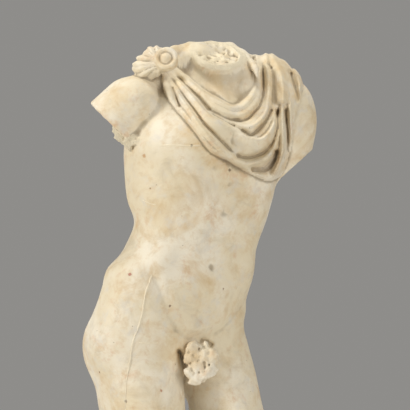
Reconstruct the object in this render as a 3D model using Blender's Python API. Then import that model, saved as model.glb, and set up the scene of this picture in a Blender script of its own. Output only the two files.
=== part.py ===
import math

import bmesh
import bpy
import numpy as np

# Headless classical youth with a short cloak, cast in one piece with a thin ground under its feet,
# standing on a low moulded plinth. Metres, +Z up, chest towards -Y, origin under the plinth's middle.
# Right and left are the figure's own.

FIGURE_HEIGHT = 1.62  # ground's top to the highest point of the broken neck
GROUND_WIDTH = 0.46
GROUND_DEPTH = 0.40
GROUND_THICKNESS = 0.035
GROUND_CORNER = 0.05  # corner radius in plan
GROUND_EDGE = 0.006  # small round on the ground's edges
PLINTH_WIDTH = 0.60
PLINTH_DEPTH = 0.50
PLINTH_FOOT = 0.035  # square lower band
PLINTH_MOULDING = 0.025  # hollow and round between the bands
PLINTH_TOP = 0.020  # square upper band
PLINTH_STEP = 0.028  # how far the upper band stands back from the lower one
PLINTH_CORNER = 0.003  # bevel of the plinth's edges
SEAT_GAP = 0.0003  # between the ground and the plinth

# The figure is sculpted in centimetres on a man of 1.80 m, seen from the side that the
# sculpture is shown from, and then scaled to its height and turned to face -Y.
SCULPT_HEIGHT = 162.0
SCULPT_GRAIN = 0.52
SCULPT_TURN = 30.0
SCULPT_CENTRE = (3.6, -3.0)  # middle of the plinth on the turned sculpt
SOLE_SINK = 1.2  # how far the soles' closed undersides lie inside the ground
FIGURE_FACETS = 9000

# height, centre x and y, half width to its right and left, depth in front and behind, turn
TORSO = [
    (80.0, -6.3, 0.0, 16.6, 13.0, 8.0, 9.0, 31),
    (88.0, -6.3, 0.0, 18.4, 14.4, 8.4, 10.0, 31),
    (97.0, -6.2, 0.0, 20.0, 14.8, 9.6, 10.4, 31),
    (103.0, -5.2, 0.0, 19.6, 14.9, 10.0, 9.8, 31),
    (108.0, -4.4, 0.0, 18.9, 14.6, 10.2, 9.2, 31),
    (112.0, -3.6, -0.1, 18.4, 14.4, 10.2, 8.7, 30),
    (115.3, -2.9, -0.25, 15.7, 14.4, 10.1, 8.1, 30),
    (118.0, -2.3, -0.3, 14.9, 14.6, 10.0, 7.9, 29),
    (122.0, -1.1, -0.2, 14.7, 15.0, 10.0, 7.8, 29),
    (126.5, -0.9, 0.2, 16.0, 16.0, 10.9, 8.9, 28),
    (131.0, -0.6, 0.6, 16.8, 16.5, 11.6, 10.2, 27),
    (137.0, -0.1, 0.9, 17.6, 17.4, 12.0, 11.4, 26),
    (142.0, 0.5, 1.2, 17.2, 17.2, 11.0, 11.8, 25),
    (146.0, 1.3, 1.6, 15.4, 15.6, 8.8, 11.2, 24),
    (149.5, 2.0, 2.2, 12.6, 12.8, 6.6, 9.6, 23),
    (152.5, 2.6, 2.8, 9.0, 9.4, 4.8, 7.4, 23),
    (156.0, 3.0, 3.0, 5.0, 5.0, 4.0, 5.0, 23),
]
STANDING_LEG = [
    (4.0, -1.9, -0.6, 3.2, 3.2, 3.4, 3.6, 22),
    (9.0, -2.1, -0.6, 3.3, 3.1, 3.5, 3.6, 22),
    (14.0, -2.8, -0.7, 3.3, 3.3, 3.5, 3.9, 22),
    (20.0, -3.7, -0.8, 4.0, 4.0, 3.9, 4.7, 24),
    (27.0, -4.7, -1.0, 5.0, 5.2, 4.4, 6.0, 26),
    (33.0, -5.5, -1.2, 5.9, 5.8, 4.8, 7.0, 27),
    (38.0, -6.2, -1.5, 5.9, 5.7, 5.0, 6.9, 28),
    (43.5, -7.0, -2.0, 5.4, 5.3, 5.3, 5.9, 28),
    (48.5, -7.7, -2.4, 5.7, 5.7, 5.9, 5.5, 28),
    (53.0, -8.4, -2.8, 5.9, 6.0, 6.4, 5.6, 28),
    (60.0, -9.4, -3.2, 6.9, 7.0, 7.6, 6.9, 28),
    (68.0, -10.7, -3.6, 8.2, 8.1, 8.8, 8.2, 29),
    (76.0, -12.0, -3.8, 9.0, 8.8, 9.5, 9.0, 30),
    (83.0, -13.3, -3.9, 8.9, 9.4, 9.8, 9.6, 30),
    (90.0, -14.4, -3.8, 8.5, 9.8, 9.6, 10.2, 30),
    (97.0, -15.2, -3.4, 8.6, 8.6, 8.8, 10.4, 30),
    (104.0, -15.0, -3.0, 7.0, 6.5, 6.5, 8.0, 30),
]
EASY_LEG = [
    (4.0, 11.6, 9.9, 3.2, 3.2, 3.4, 3.6, 44),
    (10.0, 11.6, 9.4, 3.1, 3.3, 3.5, 3.7, 44),
    (15.0, 11.7, 7.9, 3.3, 3.3, 3.5, 4.0, 44),
    (21.0, 11.8, 6.2, 4.0, 4.0, 3.9, 4.9, 44),
    (28.0, 11.9, 4.5, 5.1, 5.0, 4.3, 6.2, 43),
    (34.0, 11.9, 3.0, 5.8, 5.9, 4.7, 7.0, 42),
    (39.0, 11.8, 1.8, 5.7, 5.9, 5.0, 6.8, 41),
    (44.0, 11.5, 0.6, 5.3, 5.4, 5.5, 5.9, 41),
    (49.0, 11.0, -0.4, 5.7, 5.7, 6.3, 5.4, 40),
    (53.5, 10.3, -0.8, 6.0, 5.9, 6.7, 5.6, 40),
    (60.0, 9.0, -0.6, 7.0, 6.9, 7.6, 6.8, 39),
    (68.0, 7.1, 0.3, 8.0, 7.9, 8.7, 8.0, 37),
    (76.0, 5.7, 1.5, 7.9, 8.0, 9.1, 8.7, 35),
    (83.0, 4.3, 2.7, 7.0, 7.5, 9.1, 9.0, 33),
    (90.0, 3.0, 3.8, 7.2, 7.3, 9.1, 9.6, 32),
    (97.0, 1.4, 4.4, 8.0, 7.2, 8.2, 9.8, 31),
    (103.0, 1.4, 4.4, 6.2, 5.6, 6.2, 7.4, 31),
]
# height and how far the body's landmarks rise towards its left there
TILT = [(92, 0.16), (100, 0.17), (112, 0.13), (124, 0.03), (136, -0.05), (148, -0.10)]

# across, up, half width, half height, slant, rise: on both sides of the midline
FRONT_MUSCLES = [
    (7.6, 139.8, 9.8, 8.0, 10, 1.3),
    (3.4, 124.6, 3.8, 6.0, 0, 0.15),
    (3.4, 114.8, 3.8, 4.6, 0, 0.15),
    (12.8, 113.0, 5.2, 5.2, 0, 0.8),
    (12.6, 128.0, 3.8, 5.0, -30, 0.25),
]
MIDDLE_MUSCLES = [(0.0, 107.0, 7.5, 7.0, 0, 0.7), (0.0, 98.6, 5.0, 3.8, 0, 0.6)]
BACK_MUSCLES = [
    (8.4, 138.0, 5.6, 7.8, 12, 0.9),
    (12.5, 128.5, 5.0, 10.0, 8, 0.7),
    (3.4, 117.0, 2.8, 13.0, 0, 0.7),
    (13.0, 113.0, 5.0, 5.0, 0, 0.5),
]
# points across and up, width, depth
FRONT_CREASES = [
    ([(1.0, 134.0), (5.0, 132.7), (9.0, 132.9), (13.0, 134.4), (15.6, 137.4)], 1.8, 0.35),
    ([(0.5, 131.4), (3.0, 128.6), (6.0, 125.4), (9.0, 122.6), (12.6, 120.6)], 1.8, 0.25),
    ([(7.2, 124.0), (7.6, 114.0), (6.8, 107.0)], 1.6, 0.12),
]
MIDDLE_CREASES = [
    ([(0.2, 147.5), (0.3, 133.2), (0.4, 123.0), (0.5, 115.5)], 1.7, 0.3),
    ([
        (-17.5, 114.3), (-15.5, 113.4), (-13.1, 111.7), (-10.4, 108.8), (-8.4, 104.9), (-6.4, 101.2), (-4.2, 98.6),
        (-1.9, 97.4), (1.8, 97.3), (4.3, 98.3), (6.9, 100.5), (9.9, 103.7), (13.2, 106.7), (16.5, 108.6),
    ], 1.3, 0.75),
]
BACK_CREASES = [
    ([(4.5, 145.0), (4.0, 138.0), (7.0, 130.5), (12.0, 130.0)], 1.4, 0.4),
    ([(1.0, 101.5), (5.5, 104.5), (9.5, 106.0), (14.0, 105.5)], 1.6, 0.4),
]
NAVEL = (0.0, 112.4)

# The cloak as it is seen, x and height: neckline, lower hem and outer edge, and its edge behind
NECKLINE = [
    (-5.8, 155.2), (-2.6, 152.4), (0.6, 149.8), (4.3, 147.9), (6.3, 147.0), (8.6, 148.4), (10.1, 150.9),
    (10.9, 154.1), (10.7, 156.2),
]
HEM = [
    (-9.2, 154.0), (-8.6, 149.9), (-6.4, 146.2), (-3.9, 143.2), (-1.5, 140.2), (1.1, 136.8), (4.7, 134.8),
    (9.0, 132.5), (12.8, 130.8), (15.2, 131.0), (17.1, 132.7), (18.8, 138.5), (20.2, 145.3), (21.3, 151.9),
    (21.0, 156.0),
]
BACK_HEM = [
    (-14.6, 156.0), (-14.4, 150.0), (-11.0, 141.0), (-5.0, 135.0), (2.0, 131.8), (9.0, 130.6), (15.0, 132.5),
    (19.0, 138.0), (20.6, 145.0), (21.2, 151.0), (20.8, 157.0),
]
CLOTH = 0.9  # the cloak's thickness between folds

# points, height, reach towards the neck and away from it, whether it runs on over the shoulder
FOLDS = [
    ([
        (-5.4, 154.4), (-0.9, 149.9), (3.9, 147.1), (6.3, 146.1),
        (9.7, 148.0), (11.5, 152.4), (11.0, 158.8), (10.6, 164.0),
    ], 0.8, 0.9, 1.6, True),
    ([(0.2, 147.2), (5.1, 144.9), (8.4, 144.8), (11.1, 147.5), (12.1, 153.4)], 0.7, 1.4, 0.9, False),
    ([
        (0.6, 146.0), (3.9, 144.1), (7.7, 142.3), (9.6, 142.1),
        (12.2, 143.8), (13.7, 148.1), (13.8, 154.1), (13.2, 164.0),
    ], 1.0, 0.8, 0.9, True),
    ([
        (-6.0, 152.9), (-2.6, 148.7), (0.4, 145.2), (4.3, 142.9),
        (8.3, 140.5), (11.6, 139.4), (13.9, 141.2), (15.2, 145.6),
    ], 1.5, 0.6, 4.2, False),
    ([
        (-6.8, 152.2), (-4.1, 147.2), (-0.9, 142.2), (2.8, 138.0),
        (6.6, 135.0), (10.2, 134.4), (14.1, 136.4), (15.2, 138.2),
    ], 1.4, 1.3, 1.1, False),
    ([
        (-8.6, 151.5), (-6.2, 146.4), (-2.8, 142.4), (0.0, 138.7),
        (3.2, 136.1), (7.9, 133.8), (12.0, 131.8), (13.9, 131.7),
    ], 0.7, 1.2, 0.6, False),
    ([(-8.1, 153.4), (-6.5, 148.0), (-5.8, 146.0)], 0.7, 0.8, 0.9, False),
    ([(16.9, 148.0), (16.7, 141.2), (16.3, 135.7), (14.3, 131.6)], 1.6, 0.9, 0.85, False),
    ([(18.3, 149.0), (18.7, 139.5), (17.6, 134.0)], 1.0, 0.6, 0.6, False),
    ([(14.8, 164.0), (14.8, 158.2), (16.4, 153.6), (16.9, 149.8), (16.9, 146.6)], 1.8, 1.9, 2.0, True),
    ([(19.2, 164.0), (19.4, 156.5), (20.3, 152.6), (20.8, 149.5), (20.7, 146.4)], 0.9, 0.8, 0.6, True),
]
# points, depth, width
HOLLOWS = [
    ([(-6.4, 153.4), (-2.6, 149.8), (1.1, 145.7), (4.3, 144.0), (8.6, 142.8)], 0.9, 0.35),
    ([(5.6, 144.0), (8.3, 143.5), (11.8, 146.6), (12.7, 150.9), (12.5, 156.6), (12.2, 162.0)], 1.0, 0.4),
    ([(7.3, 141.7), (9.8, 140.4), (12.2, 142.3), (14.6, 146.6)], 1.3, 0.45),
    ([(15.8, 146.6), (15.6, 142.5), (13.7, 137.6)], 1.3, 0.42),
    ([(-7.1, 153.2), (-3.9, 148.1), (-1.3, 144.5), (1.3, 141.2), (6.4, 136.3)], 0.9, 0.38),
    ([(6.4, 136.3), (9.8, 135.6), (13.1, 137.1), (14.3, 138.8)], 1.0, 0.6),
    ([(9.4, 133.1), (12.8, 133.2), (15.0, 135.9), (15.4, 137.8)], 1.8, 0.6),
    ([(17.3, 146.6), (17.8, 142.3), (18.2, 136.1)], 1.1, 0.42),
    ([(14.5, 155.6), (15.0, 152.7), (15.2, 149.8), (15.0, 147.0)], 1.1, 0.5),
    ([(18.5, 154.9), (19.2, 151.9), (19.9, 149.2), (20.2, 147.2)], 0.9, 0.4),
]
BACK_SWAGS = 5
PLEAT_COUNT = 10  # narrow folds to half a turn around the brooch
PLEAT_RISE = 0.5
# points and radii of the roll of cloth around the back of the neck
ROLL = [
    (11.3, -1.2, 153.0), (11.0, 0.4, 154.8), (10.0, 2.8, 156.0), (8.0, 5.4, 158.0), (5.6, 7.4, 159.4), (1.5, 8.2, 159.6),
    (-3.0, 6.2, 159.3), (-6.2, 2.0, 158.4), (-8.6, -2.6, 157.4),
]
ROLL_RADII = (0.3, 0.7, 0.9, 1.2, 1.4, 1.5, 1.5, 1.4, 1.3)
BROOCH = (-8.0, -8.7, 156.4)
BROOCH_RADIUS = 2.45
LEAF = (-0.8, -10.2, 92.1)
# x, height and radius of the leaf's lobes
LEAF_LOBES = [
    (-2.2, 95.4, 1.5), (1.3, 93.9, 1.6), (1.4, 91.1, 1.4), (0.1, 90.2, 1.4), (-1.8, 89.3, 1.5), (-3.1, 90.5, 1.3),
    (-2.9, 93.2, 1.5),
]


def eased(x, low, high):
    t = np.clip((x - low) / (high - low), 0, 1)
    return t * t * (3 - 2 * t)


def merged(a, b, soft):
    """Two solids run into each other, with a fillet of about this size between them."""
    near = np.maximum(soft - np.abs(a - b), 0) / soft
    return np.minimum(a, b) - near * near * soft / 4


def common(a, b, soft):
    """What two solids share."""
    return -merged(-a, -b, soft)


def stations(at, rows):
    """The values of a table of stations at any height, along smooth curves."""
    rows = np.array(rows, float)
    knots, values = rows[:, 0], rows[:, 1:]
    slopes = np.gradient(values, knots, axis=0)
    fine = np.linspace(knots[0], knots[-1], 600)
    low = np.clip(np.searchsorted(knots, fine, side="right") - 1, 0, len(knots) - 2)
    span = (knots[low + 1] - knots[low])[:, None]
    t = (fine - knots[low])[:, None] / span
    table = (2 * t**3 - 3 * t**2 + 1) * values[low] + (t**3 - 2 * t**2 + t) * span * slopes[low]
    table += (3 * t**2 - 2 * t**3) * values[low + 1] + (t**3 - t**2) * span * slopes[low + 1]
    return [np.interp(at, fine, column).astype(np.float32) for column in table.T]


def lofted(x, y, z, rows, squareness):
    """A limb or the trunk from its level sections, with the place across and front to back on it."""
    cx, cy, right, left, front, back, turn = stations(z, rows)
    c, s = np.cos(np.radians(turn)), np.sin(np.radians(turn))
    u = (x - cx) * c + (y - cy) * s
    v = (y - cy) * c - (x - cx) * s
    across = u / np.where(u < 0, right, left)
    deep = v / np.where(v < 0, front, back)
    q = (np.abs(across) ** squareness + np.abs(deep) ** squareness) ** (1 / squareness)
    r = np.sqrt(u * u + v * v)
    return r - r / np.maximum(q, 1e-4), across, deep


def taper(x, y, z, a, b, ra, rb):
    """A round bar from a to b whose radius changes from ra to rb."""
    dx, dy, dz = b[0] - a[0], b[1] - a[1], b[2] - a[2]
    px, py, pz = x - a[0], y - a[1], z - a[2]
    t = np.clip((px * dx + py * dy + pz * dz) / (dx * dx + dy * dy + dz * dz), 0, 1)
    return np.sqrt((px - t * dx) ** 2 + (py - t * dy) ** 2 + (pz - t * dz) ** 2) - (ra + (rb - ra) * t)


def rope(x, y, z, points, radii):
    """Tapered bars run together along a line of points."""
    d = taper(x, y, z, points[0], points[1], radii[0], radii[1])
    for i in range(1, len(points) - 1):
        d = merged(d, taper(x, y, z, points[i], points[i + 1], radii[i], radii[i + 1]), 0.6)
    return d


def egg(x, y, z, centre, radii, turn=0):
    c, s = math.cos(math.radians(turn)), math.sin(math.radians(turn))
    dx, dy, dz = x - centre[0], y - centre[1], z - centre[2]
    u, v = dx * c + dy * s, dy * c - dx * s
    k0 = np.sqrt((u / radii[0]) ** 2 + (v / radii[1]) ** 2 + (dz / radii[2]) ** 2)
    k1 = np.sqrt((u / radii[0] ** 2) ** 2 + (v / radii[1] ** 2) ** 2 + (dz / radii[2] ** 2) ** 2)
    return k0 * (k0 - 1) / np.maximum(k1, 1e-4)


def muscle(u, w, cu, cw, ru, rw, slant=0):
    c, s = math.cos(math.radians(slant)), math.sin(math.radians(slant))
    du, dw = u - cu, w - cw
    return np.clip(1 - ((du * c + dw * s) / ru) ** 2 - ((dw * c - du * s) / rw) ** 2, 0, 1) ** 2


def from_line(u, w, points):
    """Distance to a line of points, how far along it the nearest place is, and on which side."""
    best = np.full(u.shape, 1e6, np.float32)
    along = np.zeros(u.shape, np.float32)
    side = np.ones(u.shape, np.float32)
    for i in range(len(points) - 1):
        (au, aw), (bu, bw) = points[i], points[i + 1]
        du, dw = bu - au, bw - aw
        pu, pw = u - au, w - aw
        t = np.clip((pu * du + pw * dw) / (du * du + dw * dw), 0, 1)
        d = (pu - t * du) ** 2 + (pw - t * dw) ** 2
        nearer = d < best
        best = np.where(nearer, d, best)
        along = np.where(nearer, i + t, along)
        side = np.where(nearer, np.sign(du * pw - dw * pu), side)
    return np.sqrt(best), along, side


def crease(u, w, points, width):
    """A groove along a line of points, 1 deep in the middle, that fades out at both ends."""
    d, along, side = from_line(u, w, points)
    share = along / (len(points) - 1)
    return np.exp(-((d / width) ** 2)) * eased(share, 0, 0.12) * (1 - eased(share, 0.88, 1))


def smooth_line(points, steps):
    """A curve through the points, as a finer line."""
    p = np.array(points, float)
    p = np.vstack([2 * p[0] - p[1], p, 2 * p[-1] - p[-2]])
    out = []
    for i in range(1, len(p) - 2):
        a, b, c, d = p[i - 1 : i + 3]
        for t in np.arange(steps) / steps:
            out.append(0.5 * (2 * b + (c - a) * t + (2 * a - 5 * b + 4 * c - d) * t**2 + (3 * b - a - 3 * c + d) * t**3))
    return np.array(out + [p[-2]])


def inside_by(u, w, corners):
    """Distance to a closed outline, positive inside it."""
    best = np.full(u.shape, 1e9, np.float32)
    inside = np.zeros(u.shape, bool)
    for i in range(len(corners)):
        au, aw = corners[i - 1]
        bu, bw = corners[i]
        du, dw = bu - au, bw - aw
        pu, pw = u - au, w - aw
        t = np.clip((pu * du + pw * dw) / (du * du + dw * dw), 0, 1)
        best = np.minimum(best, (pu - t * du) ** 2 + (pw - t * dw) ** 2)
        if dw != 0:
            inside ^= (((aw <= w) & (w < bw)) | ((bw <= w) & (w < aw))) & (pu < du * pw / dw)
    return np.where(inside, 1, -1) * np.sqrt(best)


def roughness(x, y, z, size):
    """Smoothly varying lumps of about this size, the same on every run."""
    cell = [np.floor(v / size).astype(np.int64) for v in (x, y, z)]
    part = [v / size - c for v, c in zip((x, y, z), cell)]
    part = [p * p * (3 - 2 * p) for p in part]
    total = 0
    for a in (0, 1):
        for b in (0, 1):
            for c in (0, 1):
                key = (cell[0] + a) * 374761393 + (cell[1] + b) * 668265263 + (cell[2] + c) * 2147483647
                key &= 0xFFFFFFFF
                key = ((key ^ (key >> 13)) * 1274126177) & 0xFFFFFFFF
                value = ((key ^ (key >> 16)) & 0xFFFF) / 32767.5 - 1
                share = part[0] if a else 1 - part[0]
                share = share * (part[1] if b else 1 - part[1])
                total = total + value * share * (part[2] if c else 1 - part[2])
    return total.astype(np.float32)


def trunk(x, y, z):
    d, u, v = lofted(x, y, z, TORSO, 2.35)
    d = common(d, z - 154.0, 2.0)
    d = common(d, 91.5 - z, 5.0)
    heights, slopes = zip(*TILT)
    across = u * 16
    up = z + np.interp(z, heights, slopes).astype(np.float32) * across
    both = np.abs(across)
    front, back = eased(-v, -0.1, 0.3), eased(v, -0.1, 0.3)
    relief = np.zeros_like(x)
    for cu, cw, ru, rw, slant, rise in FRONT_MUSCLES:
        relief += rise * front * muscle(both, up, cu, cw, ru, rw, slant)
    for cu, cw, ru, rw, slant, rise in MIDDLE_MUSCLES:
        relief += rise * front * muscle(across, up, cu, cw, ru, rw, slant)
    for cu, cw, ru, rw, slant, rise in BACK_MUSCLES:
        relief += rise * back * muscle(both, up, cu, cw, ru, rw, slant)
    for line, width, sink in FRONT_CREASES:
        relief -= sink * front * crease(both, up, line, width)
    for line, width, sink in MIDDLE_CREASES:
        relief -= sink * front * crease(across, up, line, width)
    for line, width, sink in BACK_CREASES:
        relief -= sink * back * crease(both, up, line, width)
    relief -= 0.8 * back * crease(across, up, [(0.0, 154.0), (0.0, 100.0)], 1.9)
    navel = (across - NAVEL[0]) ** 2 + (up - NAVEL[1]) ** 2
    relief += front * (0.12 * np.exp(-((np.sqrt(navel) - 1.5) ** 2) / 0.5) - 0.6 * np.exp(-navel / 0.6))
    return d - relief


def leg(x, y, z, rows, side):
    d, u, v = lofted(x, y, z, rows, 2.1)
    d = common(d, z - rows[-1][0] + 3, 5.0)
    w = u * 8 * side
    front, back = eased(-v, -0.1, 0.4), eased(v, -0.1, 0.4)
    relief = 1.0 * muscle(w, z, 0.2, 49.3, 3.6, 3.6)
    relief -= 0.5 * crease(w, z, [(-4.0, 46.0), (-2.4, 44.6), (0.2, 44.0), (2.4, 44.8), (3.6, 46.5)], 1.2)
    relief += 0.9 * muscle(w, z, -4.0, 56.5, 4.0, 6.5, 15)
    relief += 0.6 * muscle(w, z, 4.4, 60.0, 3.6, 8.5, -10)
    relief += 0.5 * muscle(w, z, 0.0, 68.0, 4.0, 14.0)
    relief -= 0.4 * crease(w, z, [(3.8, 54.0), (4.6, 66.0), (4.2, 80.0)], 1.3)
    relief += 0.6 * muscle(w, z, 2.8, 32.0, 2.4, 12.0)
    relief -= 0.4 * crease(w, z, [(-1.6, 42.0), (-1.2, 30.0), (-1.0, 16.0)], 1.2)
    behind = 0.9 * muscle(w, z, -2.9, 35.5, 3.4, 8.5, 6) + 0.8 * muscle(w, z, 3.0, 37.0, 3.2, 7.5, -6)
    behind -= 0.5 * crease(w, z, [(0.2, 44.0), (0.2, 30.0)], 1.2)
    behind -= 0.6 * crease(w, z, [(-3.4, 27.0), (0.0, 24.5), (3.2, 28.0)], 1.6)
    behind += 0.7 * muscle(w, z, -3.6, 50.0, 1.4, 7.0) + 0.7 * muscle(w, z, 3.8, 51.0, 1.4, 8.0)
    behind -= 0.7 * muscle(w, z, 0.0, 48.0, 3.0, 5.0)
    behind -= 0.4 * crease(w, z, [(0.3, 80.0), (0.3, 56.0)], 1.6)
    return d - front * relief - back * behind


def foot(x, y, z, ankle, heading, side):
    c, s = math.sin(math.radians(heading)), -math.cos(math.radians(heading))
    w = (x - ankle[0]) * c + (y - ankle[1]) * s
    out = ((y - ankle[1]) * c - (x - ankle[0]) * s) * side
    d = egg(w, out, z, (-3.2, 0.1, 3.2), (3.9, 3.2, 3.5))
    d = merged(d, taper(w, out, z, (0.0, 0.0, 8.0), (11.5, -0.9, 3.1), 3.4, 2.6), 3.0)
    d = merged(d, taper(w, out, z, (-3.0, 1.0, 2.2), (11.0, 2.6, 1.9), 2.2, 1.8), 2.4)
    d = merged(d, egg(w, out, z, (12.0, -0.2, 2.3), (3.6, 4.7, 2.2)), 2.2)
    d = merged(d, egg(w, out, z, (-0.2, -3.2, 8.6), (1.7, 1.1, 1.7)), 1.6)
    d = merged(d, egg(w, out, z, (-0.8, 3.2, 7.6), (1.6, 1.0, 1.8)), 1.6)
    toes = taper(w, out, z, (12.8, -3.1, 2.3), (18.6, -3.1, 1.6), 1.7, 1.4)
    for i in range(4):
        across, reach, size = 1.6 * i - 0.5, 18.4 - 0.75 * i - 0.15 * i * i, 1.05 - 0.05 * i
        bend = (reach - 2.6, across * 1.02, 2.4)
        toe = merged(
            taper(w, out, z, (12.0, across * 0.9, 2.4), bend, size, size),
            taper(w, out, z, bend, (reach, across * 1.05, 1.2), size, size),
            0.4,
        )
        toes = np.minimum(toes, toe)
    return merged(d, toes, 0.7)


def rump(x, y, z, d):
    c, s = math.cos(math.radians(31)), math.sin(math.radians(31))
    for u, v, height, size in ((-9.0, 4.8, 95.3, 9.3), (7.8, 4.6, 93.2, 8.5)):
        middle = (-6.2 + u * c - v * s, u * s + v * c, height)
        d = merged(d, egg(x, y, z, middle, (size, size, size * 1.07), 31), 4.0)
    return d


def cleft(x, y, z):
    c, s = math.cos(math.radians(31)), math.sin(math.radians(31))
    u, v = (x + 6.2) * c + y * s, y * c - (x + 6.2) * s
    return 2.0 * np.exp(-(((u + 0.6) / 1.2) ** 2)) * eased(v, 3, 9) * eased(z, 82, 88) * (1 - eased(z, 98, 105))


def shoulders(x, y, z, d):
    """Both shoulders with their sawn arm stumps, and the slopes up to the neck."""
    saw = 0.12 * roughness(x, y, z, 1.1)
    right = taper(x, y, z, (-15.6, -4.9, 146.4), (-23.6, -5.8, 139.2), 6.4, 6.3)
    right = common(right, (x + 23.9) * -0.69 + (y + 5) * 0.03 + (z - 147.0) * -0.73 + saw, 0.3)
    left = taper(x, y, z, (17.0, 7.2, 147.4), (18.4, 8.6, 130.0), 5.9, 5.3)
    left = merged(left, egg(x, y, z, (18.5, 7.6, 143.8), (5.9, 6.4, 8.7)), 1.5)
    left = common(left, (x - 24.2) * 0.67 + (z - 138.3) * -0.75 + saw, 0.3)
    slopes = merged(
        taper(x, y, z, (-1.5, 4.5, 156.5), (-13.0, -1.5, 150.5), 3.2, 3.0),
        taper(x, y, z, (6.6, 6.2, 155.2), (14.9, 7.4, 152.3), 2.8, 3.2),
        1.0,
    )
    d = merged(merged(d, right, 1.6), left, 1.6)
    return merged(d, slopes, 3.0)


def neck_break(x, y, z):
    """Height above the slanting break of the neck."""
    return (z - (157.9 + 0.6 * (y - 1) - 0.16 * (x - 3))) * 0.84


def neck(x, y, z):
    """The neck up to its broken end."""
    d = taper(x, y, z, (2.8, 3.4, 145), (2.8, 1.4, 164), 6.2, 4.8)
    d = merged(d, taper(x, y, z, (0.4, -1.6, 155), (4.6, -4.2, 147.5), 1.0, 1.0), 2.4)
    d = merged(d, taper(x, y, z, (7.0, 2.6, 156.6), (9.4, 1.4, 150.0), 1.7, 2.2), 1.6)
    broken = neck_break(x, y, z) + 0.6 * eased(-d, 0.4, 1.1)
    broken = broken + 0.4 * roughness(x, y, z, 1.5) + 0.25 * roughness(x, y, z, 0.8)
    return common(d, broken, 0.2)


def armpit_patch(x, y, z):
    """The rough broken plaster in the right armpit."""
    line = [(-17.8, -6.6, 142.8), (-17.0, -7.2, 141.0), (-15.4, -8.2, 139.2), (-13.6, -9.4, 139.0)]
    d = rope(x, y, z, line, (1.4, 1.9, 1.6, 0.9))
    return d + 0.5 * roughness(x, y, z, 1.2) + 0.35 * roughness(x, y, z, 0.75)


def fold(u, w, line, height, inner, outer):
    points = smooth_line(line, 4)
    d, along, side = from_line(u, w, points)
    reach = np.where(side > 0, inner, outer)
    t = np.clip(d / reach, 0, 1)
    gentle = (1 - t) ** 1.6 * (1 + 0.7 * t)
    shape = np.where(reach > 1.45, gentle, 0.5 * gentle + 0.5 * np.sqrt(1 - t * t))
    n = len(points) - 1
    ends = eased(along, 0, n * 0.08 + 0.5) * (1 - eased(along, n * 0.94 - 0.5, n))
    return height * shape * (0.35 + 0.65 * ends)


def cloak(x, y, z, skin):
    """The draped sheet: a layer over the skin with its folds, cut to the outline that is seen."""
    above = 170.0
    front_shape = list(smooth_line(HEM, 3)) + [(20.8, above), (10.0, above)] + list(smooth_line(NECKLINE, 3))[::-1]
    front_shape += [(-5.6, 158.0), (-5.6, above), (-13.8, above), (-13.8, 155.6), (-11.6, 154.0)]
    back_shape = list(smooth_line(BACK_HEM, 3)) + [(20.8, above), (-14.6, above)]
    in_front = y < 1.8 + 0.42 * (x - 1.5)
    e = np.where(in_front, inside_by(x, z, front_shape), inside_by(x, z, back_shape))
    edge = np.sqrt(np.clip(1 - (1 - np.clip(e / CLOTH, 0, 1)) ** 2, 0, 1))
    folds = np.zeros_like(x)
    for line, height, inner, outer, runs_over in FOLDS:
        behind = eased(z, 138, 154) if runs_over else 0
        folds = -merged(-folds, -fold(x, z, line, height, inner, outer) * np.where(in_front, 1, behind), 0.35)
    for i in range(BACK_SWAGS):
        half, sag, middle = 15.5 - 0.3 * i, 4.0 + 3.6 * i, 3.0 + 0.6 * i
        line = 154.5 - sag * np.clip(1 - ((x - middle) / half) ** 2, 0, 1) - 0.06 * i * (x - middle)
        off = (z - line) / np.sqrt(1 + (2 * sag * np.abs(x - middle) / half**2) ** 2)
        swag = 1.1 * np.exp(-((off / np.where(off > 0, 0.7, 1.6)) ** 2))
        folds = -merged(-folds, -swag * ~in_front, 0.5)
    over = eased(z, 149, 156)
    thick = edge * CLOTH + folds * eased(e, 0.0, 0.6) * (1 - 0.55 * over)
    thick = thick + 0.9 * over * edge * eased(x, 11.0, 13.5) * (1 - eased(x, 17.0, 19.5))
    for line, sink, width in HOLLOWS:
        thick = thick - sink * crease(x, z, smooth_line(line, 3), width) * in_front * eased(e, 0, 0.5)
    thick = np.maximum(thick, 0.15 * edge)
    return np.where(e > 0, skin - thick, skin + 0.3 + np.minimum(-e, 2))


def brooch(x, y, z):
    n = np.array([-0.12, -0.94, 0.31]) / np.linalg.norm([-0.12, -0.94, 0.31])
    dx, dy, dz = x - BROOCH[0], y - BROOCH[1], z - BROOCH[2]
    w = dx * n[0] + dy * n[1] + dz * n[2]
    r = np.sqrt(np.maximum(dx * dx + dy * dy + dz * dz - w * w, 0))
    disc = common(r - BROOCH_RADIUS, np.abs(w + 0.6) - 1.0, 0.3)
    rim = np.sqrt((r - BROOCH_RADIUS * 0.83) ** 2 + (w - 0.4) ** 2) - 0.5
    dome = np.sqrt(r**2 + (w + 0.1) ** 2) - BROOCH_RADIUS * 0.52
    return merged(merged(disc, rim, 0.2), dome, 0.15)


def pleats(x, y, z):
    """Cloth in narrow folds that fan out from the brooch and run over the right shoulder."""
    near = [(-8.6, -6.4, 155.6), (-10.4, -3.2, 156.4), (-10.0, 3.0, 155.2), (-8.6, 7.2, 151.0)]
    outer = [(-9.0, -6.2, 155.4), (-12.3, -3.6, 154.7), (-12.0, 1.5, 153.6), (-10.4, 5.5, 150.0)]
    d = merged(rope(x, y, z, near, (1.7, 2.8, 2.5, 1.5)), rope(x, y, z, outer, (1.6, 2.7, 2.4, 1.4)), 0.8)
    a = np.arctan2(z - BROOCH[2] + 0.8, BROOCH[0] - x) + 0.3 * roughness(x, y, z, 3.0)
    away = np.hypot(x - BROOCH[0], z - BROOCH[2])
    return d - PLEAT_RISE * (np.abs(np.cos(PLEAT_COUNT * a)) - 0.4) * eased(away, 1.8, 3.2)


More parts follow.
